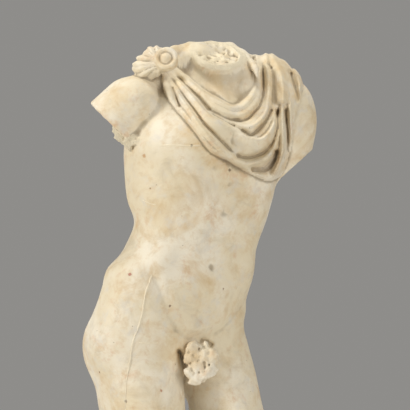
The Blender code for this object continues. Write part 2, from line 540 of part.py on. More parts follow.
def leaf(x, y, z):
    """The carved leaf: a rough middle with lobes around it, and its stalk."""
    d = egg(x, y, z, LEAF, (2.9, 2.1, 3.8))
    for across, height, size in LEAF_LOBES:
        d = merged(d, egg(x, y, z, (across, LEAF[1] - 0.6, height), (size, 1.5, size)), 0.4)
    stalk = taper(x, y, z, (0.5, LEAF[1] + 0.6, 96.4), (0.3, LEAF[1] - 1.2, 94.4), 0.5, 0.55)
    return merged(d, stalk, 0.15) + 0.35 * roughness(x, y, z, 1.0)


def groin(x, y, z):
    """The parting beside the leaf and between the thighs."""
    parting = [(-5.6, 95.7), (-4.8, 93.4), (-4.2, 91.0), (-3.6, 88.6), (-3.4, 84.0), (-3.3, 76.0)]
    hollow = [(-1.0, 97.0), (0.6, 96.6), (2.0, 95.6)]
    cut = 2.4 * crease(x, z, parting, 0.5) + 0.9 * crease(x, z, hollow, 0.6)
    return cut * (1 - eased(y, -4.5, -1.0))


def figure_field(x, y, z):
    """How far outside the figure's surface a point lies, negative inside."""
    d = rump(x, y, z, trunk(x, y, z))
    legs = merged(leg(x, y, z, STANDING_LEG, -1), leg(x, y, z, EASY_LEG, 1), 0.6)
    d = merged(d, legs, 2.5) + cleft(x, y, z)
    low = z < 20
    if low.any():
        p = x[low], y[low], z[low]
        right = foot(*p, STANDING_LEG[0][1:3], 20, -1)
        left = foot(*p, EASY_LEG[0][1:3], 46, 1)
        feet = merged(d[low], np.minimum(right, left), 2.0)
        d[low] = np.maximum(feet, -SOLE_SINK - p[2])
    high = z > 120
    if high.any():
        p = x[high], y[high], z[high]
        cover = shoulders(*p, d[high])
        skin = merged(merged(cover, neck(*p), 2.2), armpit_patch(*p), 0.6)
        cloth = merged(cloak(*p, cover), rope(*p, ROLL, ROLL_RADII), 0.8)
        cloth = merged(cloth, pleats(*p), 0.4)
        cloth = merged(cloth, brooch(*p), 0.3)
        d[high] = np.minimum(skin, cloth)
    near = (np.abs(x - LEAF[0]) < 9) & (y < 0) & (np.abs(z - LEAF[2]) < 14)
    if near.any():
        p = x[near], y[near], z[near]
        d[near] = merged(d[near] + groin(*p), leaf(*p), 0.25)
    return d


def sampled(field, low, high, step):
    """The field on a fine lattice near the surface, and coarsely away from it."""
    coarse = 4
    counts = np.ceil((np.array(high) - low) / (step * coarse)).astype(int) + 1
    axes = [(low[i] + step * coarse * np.arange(counts[i])).astype(np.float32) for i in range(3)]
    grid = np.meshgrid(*axes, indexing="ij")
    rough = field(*(g.ravel() for g in grid)).reshape(counts)
    near = np.abs(rough) < step * coarse * 1.9
    cells = np.zeros(counts - 1, bool)
    for a in (0, 1):
        for b in (0, 1):
            for c in (0, 1):
                cells |= near[a : counts[0] - 1 + a, b : counts[1] - 1 + b, c : counts[2] - 1 + c]
    fine = rough[:-1, :-1, :-1].repeat(coarse, 0).repeat(coarse, 1).repeat(coarse, 2)
    offsets = np.stack(np.meshgrid(*[np.arange(coarse)] * 3, indexing="ij"), -1).reshape(-1, 3)
    index = (np.argwhere(cells)[:, None] * coarse + offsets).reshape(-1, 3)
    points = (np.array(low) + index * step).astype(np.float32)
    fine[tuple(index.T)] = field(*points.T.copy())
    return fine


CORNERS = [(a, b, c) for a in (0, 1) for b in (0, 1) for c in (0, 1)]


def joined_up(chosen):
    """Whether the chosen corners of a cube hang together along its edges."""
    chosen = set(chosen)
    if not chosen:
        return True
    found = [chosen.pop()]
    for corner in found:
        for other in list(chosen):
            if sum(abs(p - q) for p, q in zip(corner, other)) == 1:
                chosen.remove(other)
                found.append(other)
    return not chosen


def without_pinches(values):
    """Fills the few cells where the surface would touch itself at an edge or a point."""
    pinched = np.zeros(256, bool)
    for code in range(256):
        inside = [corner for i, corner in enumerate(CORNERS) if code >> i & 1]
        outside = [corner for i, corner in enumerate(CORNERS) if not code >> i & 1]
        pinched[code] = not (joined_up(inside) and joined_up(outside))
    for _ in range(20):
        n = np.array(values.shape) - 1
        code = np.zeros(n, np.int32)
        for i, (a, b, c) in enumerate(CORNERS):
            code |= (values[a : n[0] + a, b : n[1] + b, c : n[2] + c] < 0).astype(np.int32) << i
        bad = np.argwhere(pinched[code])
        if not len(bad):
            break
        for cell in bad:
            corners = [tuple(cell + corner) for corner in CORNERS]
            outside = [corner for corner in corners if values[corner] >= 0]
            if outside:
                values[min(outside, key=lambda corner: values[corner])] = -1e-3
    return values


def surface(values, low, step):
    """One vertex in each cell that the surface crosses, and a square across each crossed edge."""
    n = np.array(values.shape) - 1
    inside = values < 0
    total = np.zeros((*n, 3), np.float32)
    count = np.zeros(n, np.float32)
    for axis in range(3):
        a = np.moveaxis(values, axis, 0)
        crossed = np.moveaxis(inside, axis, 0)[:-1] != np.moveaxis(inside, axis, 0)[1:]
        share = np.where(crossed, a[:-1] / np.where(crossed, a[:-1] - a[1:], 1), 0)
        others = [i for i in range(3) if i != axis]
        for p in (0, 1):
            for q in (0, 1):
                cut = np.moveaxis(crossed, 0, axis)
                part = np.moveaxis(share, 0, axis)
                window = [slice(None)] * 3
                window[others[0]] = slice(p, n[others[0]] + p)
                window[others[1]] = slice(q, n[others[1]] + q)
                cut, part = cut[tuple(window)], part[tuple(window)]
                count += cut
                total[..., axis] += part
                total[..., others[0]] += cut * p
                total[..., others[1]] += cut * q
    cells = np.argwhere(count > 0)
    number = np.full(n, -1, np.int64)
    number[tuple(cells.T)] = np.arange(len(cells))
    vertices = np.array(low) + (cells + total[tuple(cells.T)] / count[tuple(cells.T)][:, None]) * step
    faces = []
    for axis in range(3):
        first = [slice(None)] * 3
        second = [slice(None)] * 3
        first[axis], second[axis] = slice(0, -1), slice(1, None)
        starts = inside[tuple(first)]
        edges = np.argwhere(starts != inside[tuple(second)])
        b, c = (axis + 1) % 3, (axis + 2) % 3
        ring = []
        for p, q in ((1, 1), (0, 1), (0, 0), (1, 0)):
            cell = edges.copy()
            cell[:, b] -= p
            cell[:, c] -= q
            ring.append(number[tuple(cell.T)])
        ring = np.stack(ring, 1)
        flip = ~starts[tuple(edges.T)]
        ring[flip] = ring[flip][:, ::-1]
        faces.append(ring)
    return vertices, np.concatenate(faces)


def material(name, colour, roughness_value):
    m = bpy.data.materials.new(name)
    m.use_nodes = True
    shader = m.node_tree.nodes["Principled BSDF"]
    shader.inputs["Base Color"].default_value = (*colour, 1)
    shader.inputs["Roughness"].default_value = roughness_value
    shader.inputs["Metallic"].default_value = 0
    return m


def added(name, mesh, *materials):
    for m in materials:
        mesh.materials.append(m)
    thing = bpy.data.objects.new(name, mesh)
    bpy.context.scene.collection.objects.link(thing)
    return thing


def plinth_mesh():
    """Square lower band, hollow moulding, small round and square upper band, mitred at the corners."""
    profile = [(0, 0), (0, PLINTH_FOOT)]
    fillet = PLINTH_MOULDING * 0.14
    hollow = PLINTH_STEP - 2 * fillet
    profile.append((fillet, PLINTH_FOOT))
    profile.append((fillet, PLINTH_FOOT + fillet))
    for i in range(7):
        a = math.radians(15 * i)
        rise = PLINTH_MOULDING - 2 * fillet
        profile.append((fillet + hollow * math.sin(a), PLINTH_FOOT + fillet + rise * (1 - math.cos(a))))
    profile.append((PLINTH_STEP, PLINTH_FOOT + PLINTH_MOULDING - fillet))
    profile.append((PLINTH_STEP, PLINTH_FOOT + PLINTH_MOULDING + PLINTH_TOP))
    bm = bmesh.new()
    rings = []
    for inset, height in profile:
        x, y = PLINTH_WIDTH / 2 - inset, PLINTH_DEPTH / 2 - inset
        rings.append([bm.verts.new((a * x, b * y, height)) for a, b in ((-1, -1), (1, -1), (1, 1), (-1, 1))])
    for below, above in zip(rings, rings[1:]):
        for i in range(4):
            bm.faces.new((below[i], below[(i + 1) % 4], above[(i + 1) % 4], above[i]))
    bm.faces.new(rings[0][::-1])
    bm.faces.new(rings[-1])
    mesh = bpy.data.meshes.new("plinth")
    bm.to_mesh(mesh)
    bm.free()
    return mesh


def ground_mesh(bottom):
    """The thin slab under the feet, round at the corners."""
    bm = bmesh.new()
    corners = []
    for cx, cy, start in ((1, 1, 0), (-1, 1, 90), (-1, -1, 180), (1, -1, 270)):
        for i in range(7):
            a = math.radians(start + 15 * i)
            x = cx * (GROUND_WIDTH / 2 - GROUND_CORNER) + GROUND_CORNER * math.cos(a)
            y = cy * (GROUND_DEPTH / 2 - GROUND_CORNER) + GROUND_CORNER * math.sin(a)
            corners.append(bm.verts.new((x, y, bottom)))
    face = bm.faces.new(corners)
    risen = bmesh.ops.extrude_face_region(bm, geom=[face])["geom"]
    top = [v for v in risen if isinstance(v, bmesh.types.BMVert)]
    bmesh.ops.translate(bm, vec=(0, 0, GROUND_THICKNESS), verts=top)
    bmesh.ops.recalc_face_normals(bm, faces=bm.faces)
    rim = [e for e in bm.edges if all(v in top for v in e.verts) and len(e.link_faces) == 2]
    bmesh.ops.bevel(bm, geom=rim, offset=GROUND_EDGE, segments=2, profile=0.5, affect="EDGES")
    mesh = bpy.data.meshes.new("ground")
    bm.to_mesh(mesh)
    bm.free()
    return mesh


def figure_mesh(ground_top):
    low = (-28.0, -25.0, -3.0)
    values = without_pinches(sampled(figure_field, low, (31.0, 22.0, 165.0), SCULPT_GRAIN))
    vertices, faces = surface(values, low, SCULPT_GRAIN)
    scale = FIGURE_HEIGHT / SCULPT_HEIGHT
    a = math.radians(-SCULPT_TURN)
    x, y = vertices[:, 0] * math.cos(a) - vertices[:, 1] * math.sin(a), vertices[:, 0] * math.sin(a) + vertices[:, 1] * math.cos(a)
    placed = np.stack([x - SCULPT_CENTRE[0], y - SCULPT_CENTRE[1], vertices[:, 2]], 1) * scale
    placed[:, 2] += ground_top
    mesh = bpy.data.meshes.new("figure")
    mesh.vertices.add(len(placed))
    mesh.vertices.foreach_set("co", placed.astype(np.float32).ravel())
    mesh.loops.add(faces.size)
    mesh.loops.foreach_set("vertex_index", faces.astype(np.int32).ravel())
    mesh.polygons.add(len(faces))
    mesh.polygons.foreach_set("loop_start", np.arange(0, faces.size, 4, dtype=np.int32))
    mesh.update(calc_edges=True)
    mesh.shade_smooth()
    return mesh


def main():
    for thing in list(bpy.data.objects):
        bpy.data.objects.remove(thing, do_unlink=True)
    plaster = material("aged cream plaster", (0.74, 0.66, 0.52), 0.75)
    plinth_plaster = material("painted plaster", (0.68, 0.61, 0.49), 0.7)

    plinth = added("plinth", plinth_mesh(), plinth_plaster)
    bevel = plinth.modifiers.new("edges", "BEVEL")
    bevel.width = PLINTH_CORNER
    bevel.segments = 2
    bevel.limit_method = "ANGLE"
    bevel.angle_limit = math.radians(60)

    ground_bottom = PLINTH_FOOT + PLINTH_MOULDING + PLINTH_TOP + SEAT_GAP
    figure = added("figure", figure_mesh(ground_bottom + GROUND_THICKNESS), plaster)
    facets = figure.modifiers.new("facets", "DECIMATE")
    facets.ratio = FIGURE_FACETS / (2 * len(figure.data.polygons))
    ground = added("ground guide", ground_mesh(ground_bottom), plaster)
    ground.hide_render = True
    ground.display_type = "WIRE"
    join = figure.modifiers.new("ground", "BOOLEAN")
    join.operation = "UNION"
    join.object = ground


main()
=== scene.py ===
import math

import bmesh
import bpy
import numpy as np
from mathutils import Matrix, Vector
from mathutils.bvhtree import BVHTree


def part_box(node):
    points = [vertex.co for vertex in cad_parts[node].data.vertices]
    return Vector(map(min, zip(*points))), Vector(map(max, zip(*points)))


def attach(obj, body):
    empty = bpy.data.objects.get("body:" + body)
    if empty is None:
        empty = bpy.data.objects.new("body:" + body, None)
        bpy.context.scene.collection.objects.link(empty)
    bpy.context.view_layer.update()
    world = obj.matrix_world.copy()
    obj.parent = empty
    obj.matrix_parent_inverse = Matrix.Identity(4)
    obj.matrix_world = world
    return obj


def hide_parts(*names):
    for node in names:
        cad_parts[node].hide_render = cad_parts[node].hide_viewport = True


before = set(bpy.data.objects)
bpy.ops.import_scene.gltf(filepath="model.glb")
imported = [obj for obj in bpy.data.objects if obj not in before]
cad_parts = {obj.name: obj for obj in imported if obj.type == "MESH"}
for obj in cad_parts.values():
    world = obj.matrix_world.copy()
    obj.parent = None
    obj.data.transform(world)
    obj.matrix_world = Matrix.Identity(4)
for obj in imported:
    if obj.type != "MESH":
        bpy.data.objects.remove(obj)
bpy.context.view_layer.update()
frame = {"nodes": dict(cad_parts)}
print("frame loaded:", ", ".join(frame["nodes"]))

figureLow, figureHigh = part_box("figure")
plinthLow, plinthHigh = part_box("plinth")

# Right and left are the figure's own. The figure is sculpted in centimetres on a man of 1.80 m, seen from
# the side that it is shown from, then scaled to the frame's height and turned so that the chest faces -Y.
sculpt = {
    "grain": 0.3,  # lattice step, cm
    "turn": 30.0,  # degrees
    "centre": (3.6, -3.0),  # middle of the plinth on the turned sculpt, cm
    "top": 161.37,  # highest point of the broken neck, cm
    "groundThickness": 0.035,  # m, as in the solids
    "groundSize": (0.46, 0.40),
    "groundCorner": 0.05,
    "triangles": 186000,
}
unit = (figureHigh[2] - figureLow[2] - sculpt["groundThickness"]) / sculpt["top"]  # metres in one sculpted cm
groundTop = figureLow[2] + sculpt["groundThickness"]
turnCos, turnSin = math.cos(math.radians(sculpt["turn"])), math.sin(math.radians(sculpt["turn"]))


def toWorld(points):  # sculpted cm to metres in the frame
    p = np.asarray(points, float).reshape(-1, 3)
    x = p[:, 0] * turnCos + p[:, 1] * turnSin - sculpt["centre"][0]
    y = p[:, 1] * turnCos - p[:, 0] * turnSin - sculpt["centre"][1]
    return np.stack([x * unit, y * unit, p[:, 2] * unit + groundTop], 1)


def toSculpt(points):
    p = np.asarray(points, float).reshape(-1, 3)
    x, y = p[:, 0] / unit + sculpt["centre"][0], p[:, 1] / unit + sculpt["centre"][1]
    return np.stack([x * turnCos - y * turnSin, x * turnSin + y * turnCos, (p[:, 2] - groundTop) / unit], 1)


# Forms are functions that tell how far outside a form each point lies, negative inside, in cm
def eased(x, low, high):
    t = np.clip((x - low) / (high - low), 0, 1)
    return t * t * (3 - 2 * t)


def merged(a, b, soft):
    near = np.maximum(soft - np.abs(a - b), 0) / soft
    return np.minimum(a, b) - near * near * soft / 4


def common(a, b, soft):
    return -merged(-a, -b, soft)


def stations(at, rows):
    rows = np.array(rows, float)
    knots, values = rows[:, 0], rows[:, 1:]
    slopes = np.gradient(values, knots, axis=0)
    fine = np.linspace(knots[0], knots[-1], 600)
    low = np.clip(np.searchsorted(knots, fine, side="right") - 1, 0, len(knots) - 2)
    span = (knots[low + 1] - knots[low])[:, None]
    t = (fine - knots[low])[:, None] / span
    table = (2 * t**3 - 3 * t**2 + 1) * values[low] + (t**3 - 2 * t**2 + t) * span * slopes[low]
    table += (3 * t**2 - 2 * t**3) * values[low + 1] + (t**3 - t**2) * span * slopes[low + 1]
    return [np.interp(at, fine, column).astype(np.float32) for column in table.T]


def lofted(x, y, z, rows, squareness):
    cx, cy, right, left, front, back, turn = stations(z, rows)
    c, s = np.cos(np.radians(turn)), np.sin(np.radians(turn))
    u = (x - cx) * c + (y - cy) * s
    v = (y - cy) * c - (x - cx) * s
    across = u / np.where(u < 0, right, left)
    deep = v / np.where(v < 0, front, back)
    q = (np.abs(across) ** squareness + np.abs(deep) ** squareness) ** (1 / squareness)
    r = np.sqrt(u * u + v * v)
    return r - r / np.maximum(q, 1e-4), across, deep


def taper(x, y, z, a, b, ra, rb):
    dx, dy, dz = b[0] - a[0], b[1] - a[1], b[2] - a[2]
    px, py, pz = x - a[0], y - a[1], z - a[2]
    t = np.clip((px * dx + py * dy + pz * dz) / (dx * dx + dy * dy + dz * dz), 0, 1)
    return np.sqrt((px - t * dx) ** 2 + (py - t * dy) ** 2 + (pz - t * dz) ** 2) - (ra + (rb - ra) * t)


def rope(x, y, z, points, radii):
    d = taper(x, y, z, points[0], points[1], radii[0], radii[1])
    for i in range(1, len(points) - 1):
        d = merged(d, taper(x, y, z, points[i], points[i + 1], radii[i], radii[i + 1]), 0.6)
    return d


def egg(x, y, z, centre, radii, turn=0):
    c, s = math.cos(math.radians(turn)), math.sin(math.radians(turn))
    dx, dy, dz = x - centre[0], y - centre[1], z - centre[2]
    u, v = dx * c + dy * s, dy * c - dx * s
    k0 = np.sqrt((u / radii[0]) ** 2 + (v / radii[1]) ** 2 + (dz / radii[2]) ** 2)
    k1 = np.sqrt((u / radii[0] ** 2) ** 2 + (v / radii[1] ** 2) ** 2 + (dz / radii[2] ** 2) ** 2)
    return k0 * (k0 - 1) / np.maximum(k1, 1e-4)


def muscle(u, w, cu, cw, ru, rw, slant=0):
    c, s = math.cos(math.radians(slant)), math.sin(math.radians(slant))
    du, dw = u - cu, w - cw
    return np.clip(1 - ((du * c + dw * s) / ru) ** 2 - ((dw * c - du * s) / rw) ** 2, 0, 1) ** 2


def besideEdge(u, w, a, b):  # share of the way along from a to b, squared distance, and which side of it
    du, dw = b[0] - a[0], b[1] - a[1]
    pu, pw = u - a[0], w - a[1]
    t = np.clip((pu * du + pw * dw) / (du * du + dw * dw), 0, 1)
    return t, (pu - t * du) ** 2 + (pw - t * dw) ** 2, np.sign(du * pw - dw * pu)


def fromLine(u, w, points):
    best = np.full(u.shape, 1e6, np.float32)
    along = np.zeros(u.shape, np.float32)
    side = np.ones(u.shape, np.float32)
    for i in range(len(points) - 1):
        t, d, turn = besideEdge(u, w, points[i], points[i + 1])
        nearer = d < best
        best = np.where(nearer, d, best)
        along = np.where(nearer, i + t, along)
        side = np.where(nearer, turn, side)
    return np.sqrt(best), along, side


def crease(u, w, points, width):
    d, along, side = fromLine(u, w, points)
    share = along / (len(points) - 1)
    return np.exp(-((d / width) ** 2)) * eased(share, 0, 0.12) * (1 - eased(share, 0.88, 1))


def smoothLine(points, steps):
    p = np.array(points, float)
    p = np.vstack([2 * p[0] - p[1], p, 2 * p[-1] - p[-2]])
    out = []
    for i in range(1, len(p) - 2):
        a, b, c, d = p[i - 1 : i + 3]
        for t in np.arange(steps) / steps:
            square, cube = 2 * a - 5 * b + 4 * c - d, 3 * b - a - 3 * c + d
            out.append(0.5 * (2 * b + (c - a) * t + square * t**2 + cube * t**3))
    return np.array(out + [p[-2]])


def insideBy(u, w, corners):
    best = np.full(u.shape, 1e9, np.float32)
    inside = np.zeros(u.shape, bool)
    for i, (bu, bw) in enumerate(corners):
        au, aw = corners[i - 1]
        best = np.minimum(best, besideEdge(u, w, (au, aw), (bu, bw))[1])
        if bw != aw:
            between = ((aw <= w) & (w < bw)) | ((bw <= w) & (w < aw))
            inside ^= between & (u - au < (bu - au) * (w - aw) / (bw - aw))
    return np.where(inside, 1, -1) * np.sqrt(best)


cubeCorners = [(a, b, c) for a in (0, 1) for b in (0, 1) for c in (0, 1)]
hashPrimes = (374761393, 668265263, 2147483647)


def roughness(x, y, z, size):  # smooth bumps of this size in cm, from -1 to 1
    cell = [np.floor(v / size).astype(np.int64) for v in (x, y, z)]
    part = [v / size - c for v, c in zip((x, y, z), cell)]
    part = [p * p * (3 - 2 * p) for p in part]
    total = 0
    for corner in cubeCorners:
        key = sum((c + side) * prime for c, side, prime in zip(cell, corner, hashPrimes)) & 0xFFFFFFFF
        key = ((key ^ (key >> 13)) * 1274126177) & 0xFFFFFFFF
        value = ((key ^ (key >> 16)) & 0xFFFF) / 32767.5 - 1
        across, deep, high = [p if side else 1 - p for p, side in zip(part, corner)]
        total = total + value * (across * deep) * high
    return total.astype(np.float32)


def roughened(x, y, z, d, grains):  # grains as their size and depth in cm
    for size, depth in grains:
        d = d + depth * roughness(x, y, z, size)
    return d


body = {
    "squareness": 2.35,  # 2 is an ellipse
    "legSquareness": 2.1,
    "hipTurn": 31,  # degrees
    "hipMiddle": -6.2,
    "headings": (20, 46),  # where the right and the left foot point, degrees
    # height, centre x and y, half width to its right and left, depth in front and behind, turn
    "torso": [
        (80, -6.3, 0, 16.6, 13, 8, 9, 31),
        (88, -6.3, 0, 18.4, 14.4, 8.4, 10, 31),
        (97, -6.2, 0, 20, 14.8, 9.6, 10.4, 31),
        (103, -5.2, 0, 19.6, 14.9, 10, 9.8, 31),
        (108, -4.4, 0, 18.9, 14.6, 10.2, 9.2, 31),
        (112, -3.6, -0.1, 18.4, 14.4, 10.2, 8.7, 30),
        (115.3, -2.9, -0.25, 15.7, 14.4, 10.1, 8.1, 30),
        (118, -2.3, -0.3, 14.9, 14.6, 10, 7.9, 29),
        (122, -1.1, -0.2, 14.7, 15, 10, 7.8, 29),
        (126.5, -0.9, 0.2, 16, 16, 10.9, 8.9, 28),
        (131, -0.6, 0.6, 16.8, 16.5, 11.6, 10.2, 27),
        (137, -0.1, 0.9, 17.6, 17.4, 12, 11.4, 26),
        (142, 0.5, 1.2, 17.2, 17.2, 11, 11.8, 25),
        (146, 1.3, 1.6, 15.4, 15.6, 8.8, 11.2, 24),
        (149.5, 2, 2.2, 12.6, 12.8, 6.6, 9.6, 23),
        (152.5, 2.6, 2.8, 9, 9.4, 4.8, 7.4, 23),
        (156, 3, 3, 5, 5, 4, 5, 23),
    ],
    "standingLeg": [
        (4, -1.9, -0.6, 3.2, 3.2, 3.4, 3.6, 22),
        (9, -2.1, -0.6, 3.3, 3.1, 3.5, 3.6, 22),
        (14, -2.8, -0.7, 3.3, 3.3, 3.5, 3.9, 22),
        (20, -3.7, -0.8, 4, 4, 3.9, 4.7, 24),
        (27, -4.7, -1, 5, 5.2, 4.4, 6, 26),
        (33, -5.5, -1.2, 5.9, 5.8, 4.8, 7, 27),
        (38, -6.2, -1.5, 5.9, 5.7, 5, 6.9, 28),
        (43.5, -7, -2, 5.4, 5.3, 5.3, 5.9, 28),
        (48.5, -7.7, -2.4, 5.7, 5.7, 5.9, 5.5, 28),
        (53, -8.4, -2.8, 5.9, 6, 6.4, 5.6, 28),
        (60, -9.4, -3.2, 6.9, 7, 7.6, 6.9, 28),
        (68, -10.7, -3.6, 8.2, 8.1, 8.8, 8.2, 29),
        (76, -12, -3.8, 9, 8.8, 9.5, 9, 30),
        (83, -13.3, -3.9, 8.9, 9.4, 9.8, 9.6, 30),
        (90, -14.4, -3.8, 8.5, 9.8, 9.6, 10.2, 30),
        (97, -15.2, -3.4, 8.6, 8.6, 8.8, 10.4, 30),
        (104, -15, -3, 7, 6.5, 6.5, 8, 30),
    ],
    "easyLeg": [
        (4, 11.6, 9.9, 3.2, 3.2, 3.4, 3.6, 44),
        (10, 11.6, 9.4, 3.1, 3.3, 3.5, 3.7, 44),
        (15, 11.7, 7.9, 3.3, 3.3, 3.5, 4, 44),
        (21, 11.8, 6.2, 4, 4, 3.9, 4.9, 44),
        (28, 11.9, 4.5, 5.1, 5, 4.3, 6.2, 43),
        (34, 11.9, 3, 5.8, 5.9, 4.7, 7, 42),
        (39, 11.8, 1.8, 5.7, 5.9, 5, 6.8, 41),
        (44, 11.5, 0.6, 5.3, 5.4, 5.5, 5.9, 41),
        (49, 11, -0.4, 5.7, 5.7, 6.3, 5.4, 40),
        (53.5, 10.3, -0.8, 6, 5.9, 6.7, 5.6, 40),
        (60, 9, -0.6, 7, 6.9, 7.6, 6.8, 39),
        (68, 7.1, 0.3, 8, 7.9, 8.7, 8, 37),
        (76, 5.7, 1.5, 7.9, 8, 9.1, 8.7, 35),
        (83, 4.3, 2.7, 7, 7.5, 9.1, 9, 33),
        (90, 3, 3.8, 7.2, 7.3, 9.1, 9.6, 32),
        (97, 1.4, 4.4, 8, 7.2, 8.2, 9.8, 31),
        (103, 1.4, 4.4, 6.2, 5.6, 6.2, 7.4, 31),
    ],
    # height and how far the body's landmarks rise towards its left there
    "tilt": [(92, 0.16), (100, 0.17), (112, 0.13), (124, 0.03), (136, -0.05), (148, -0.1)],
    # across, up, half width, half height, slant, rise: the middle ones once, the others on both sides
    "frontMuscles": [
        (7.6, 139.8, 9.8, 8, 10, 1.3),
        (3.4, 124.6, 3.8, 6, 0, 0.15),
        (3.4, 114.8, 3.8, 4.6, 0, 0.15),
        (12.8, 113, 5.2, 5.2, 0, 0.8),
        (12.6, 128, 3.8, 5, -30, 0.25),
    ],
    "middleMuscles": [
        (0, 107, 7.5, 7, 0, 0.7),
        (0, 98.6, 5, 3.8, 0, 0.6),
    ],
    "backMuscles": [
        (8.4, 138, 5.6, 7.8, 12, 0.9),
        (12.5, 128.5, 5, 10, 8, 0.7),
        (3.4, 117, 2.8, 13, 0, 0.7),
        (13, 113, 5, 5, 0, 0.5),
    ],
    # points across and up, width, depth
    "frontCreases": [
        ([(1, 134), (5, 132.7), (9, 132.9), (13, 134.4), (15.6, 137.4)], 1.8, 0.35),
        ([(0.5, 131.4), (3, 128.6), (6, 125.4), (9, 122.6), (12.6, 120.6)], 1.8, 0.25),
        ([(7.2, 124), (7.6, 114), (6.8, 107)], 1.6, 0.12),
    ],
    "middleCreases": [
        ([(0.2, 147.5), (0.3, 133.2), (0.35, 127.5), (0.4, 122)], 1.7, 0.3),
        ([(-17.5, 114.3), (-15.5, 113.4), (-13.1, 111.7), (-10.4, 108.8), (-8.4, 104.9), (-6.4, 101.2),
         (-4.2, 98.6), (-1.9, 97.4), (1.8, 97.3), (4.3, 98.3), (6.9, 100.5), (9.9, 103.7), (13.2, 106.7),
         (16.5, 108.6)], 1.3, 0.75),
    ],
    "backCreases": [
        ([(4.5, 145), (4, 138), (7, 130.5), (12, 130)], 1.4, 0.4),
        ([(1, 101.5), (5.5, 104.5), (9.5, 106), (14, 105.5)], 1.6, 0.4),
    ],
    # height and either a muscle or the points and width of a crease
    "legFront": [
        (1.0, (0.2, 49.3, 3.6, 3.6)),
        (-0.5, [(-4, 46), (-2.4, 44.6), (0.2, 44), (2.4, 44.8), (3.6, 46.5)], 1.2),
        (0.9, (-4, 56.5, 4, 6.5, 15)),
        (0.6, (4.4, 60, 3.6, 8.5, -10)),
        (0.5, (0, 68, 4, 14)),
        (-0.4, [(3.8, 54), (4.6, 66), (4.2, 80)], 1.3),
        (0.6, (2.8, 32, 2.4, 12)),
        (-0.4, [(-1.6, 42), (-1.2, 30), (-1, 16)], 1.2),
    ],
    "legBack": [
        (0.9, (-2.9, 35.5, 3.4, 8.5, 6)),
        (0.8, (3, 37, 3.2, 7.5, -6)),
        (-0.5, [(0.2, 44), (0.2, 30)], 1.2),
        (-0.6, [(-3.4, 27), (0, 24.5), (3.2, 28)], 1.6),
        (0.7, (-3.6, 50, 1.4, 7)),
        (0.7, (3.8, 51, 1.4, 8)),
        (-0.7, (0, 48, 3, 5)),
        (-0.4, [(0.3, 80), (0.3, 56)], 1.6),
    ],
    "spine": ([(0, 154), (0, 100)], 1.9, 0.8),
    "navel": (0, 112.4),
}


def trunk(x, y, z):
    d, u, v = lofted(x, y, z, body["torso"], body["squareness"])
    d = common(d, z - 154.0, 2.0)
    d = common(d, 91.5 - z, 5.0)
    heights, slopes = zip(*body["tilt"])
    across = u * 16
    up = z + np.interp(z, heights, slopes).astype(np.float32) * across
    both = np.abs(across)
    front, back = eased(-v, -0.1, 0.3), eased(v, -0.1, 0.3)
    relief = np.zeros_like(x)
    for spread, facing, side in ((both, front, "front"), (across, front, "middle"), (both, back, "back")):
        for cu, cw, ru, rw, slant, rise in body[side + "Muscles"]:
            relief += rise * facing * muscle(spread, up, cu, cw, ru, rw, slant)
    for spread, facing, side in ((both, front, "front"), (across, front, "middle"), (both, back, "back")):
        for line, width, sink in body[side + "Creases"]:
            relief -= sink * facing * crease(spread, up, line, width)
    line, width, sink = body["spine"]
    relief -= sink * back * crease(across, up, line, width)
    du, dw = across - body["navel"][0], up - body["navel"][1]
    navel = (du + 0.25 * dw) ** 2 / 0.5 + dw**2 / 0.75
    relief += front * (0.16 * np.exp(-((np.sqrt(navel) - 2.0) ** 2)) - 0.42 * np.exp(-navel))
    return d - relief


def leg(x, y, z, rows, side):
    d, u, v = lofted(x, y, z, rows, body["legSquareness"])
    d = common(d, z - rows[-1][0] + 3, 5.0)
    w = u * 8 * side
    for facing, forms in ((eased(-v, -0.1, 0.4), body["legFront"]), (eased(v, -0.1, 0.4), body["legBack"])):
        relief = 0
        for rise, form, *width in forms:
            relief = relief + rise * (crease(w, z, form, *width) if width else muscle(w, z, *form))
        d = d - facing * relief
    return d


def foot(x, y, z, ankle, heading, side):
    c, s = math.sin(math.radians(heading)), -math.cos(math.radians(heading))
    w = (x - ankle[0]) * c + (y - ankle[1]) * s
    out = ((y - ankle[1]) * c - (x - ankle[0]) * s) * side
    d = egg(w, out, z, (-3.2, 0.1, 3.2), (3.9, 3.2, 3.5))
    d = merged(d, taper(w, out, z, (0.0, 0.0, 8.0), (11.5, -0.9, 3.1), 3.4, 2.6), 3.0)
    d = merged(d, taper(w, out, z, (-3.0, 1.0, 2.2), (11.0, 2.6, 1.9), 2.2, 1.8), 2.4)
    d = merged(d, egg(w, out, z, (12.0, -0.2, 2.3), (3.6, 4.7, 2.2)), 2.2)
    d = merged(d, egg(w, out, z, (-0.2, -3.2, 8.6), (1.7, 1.1, 1.7)), 1.6)
    d = merged(d, egg(w, out, z, (-0.8, 3.2, 7.6), (1.6, 1.0, 1.8)), 1.6)
    toes = taper(w, out, z, (12.8, -3.1, 2.3), (18.6, -3.1, 1.6), 1.7, 1.4)
    for i in range(4):
        across, reach, size = 1.6 * i - 0.5, 18.4 - 0.75 * i - 0.15 * i * i, 1.05 - 0.05 * i
        bend = (reach - 2.6, across * 1.02, 2.4)
        toe = merged(
            taper(w, out, z, (12.0, across * 0.9, 2.4), bend, size, size),
            taper(w, out, z, bend, (reach, across * 1.05, 1.2), size, size),
            0.4,
        )
        toes = np.minimum(toes, toe)
    return merged(d, toes, 0.7)


def rump(x, y, z, d):
    c, s = math.cos(math.radians(body["hipTurn"])), math.sin(math.radians(body["hipTurn"]))
    for u, v, height, size in ((-9.0, 4.8, 95.3, 9.3), (7.8, 4.6, 93.2, 8.5)):
        middle = (body["hipMiddle"] + u * c - v * s, u * s + v * c, height)
        d = merged(d, egg(x, y, z, middle, (size, size, size * 1.07), body["hipTurn"]), 4.0)
    return d


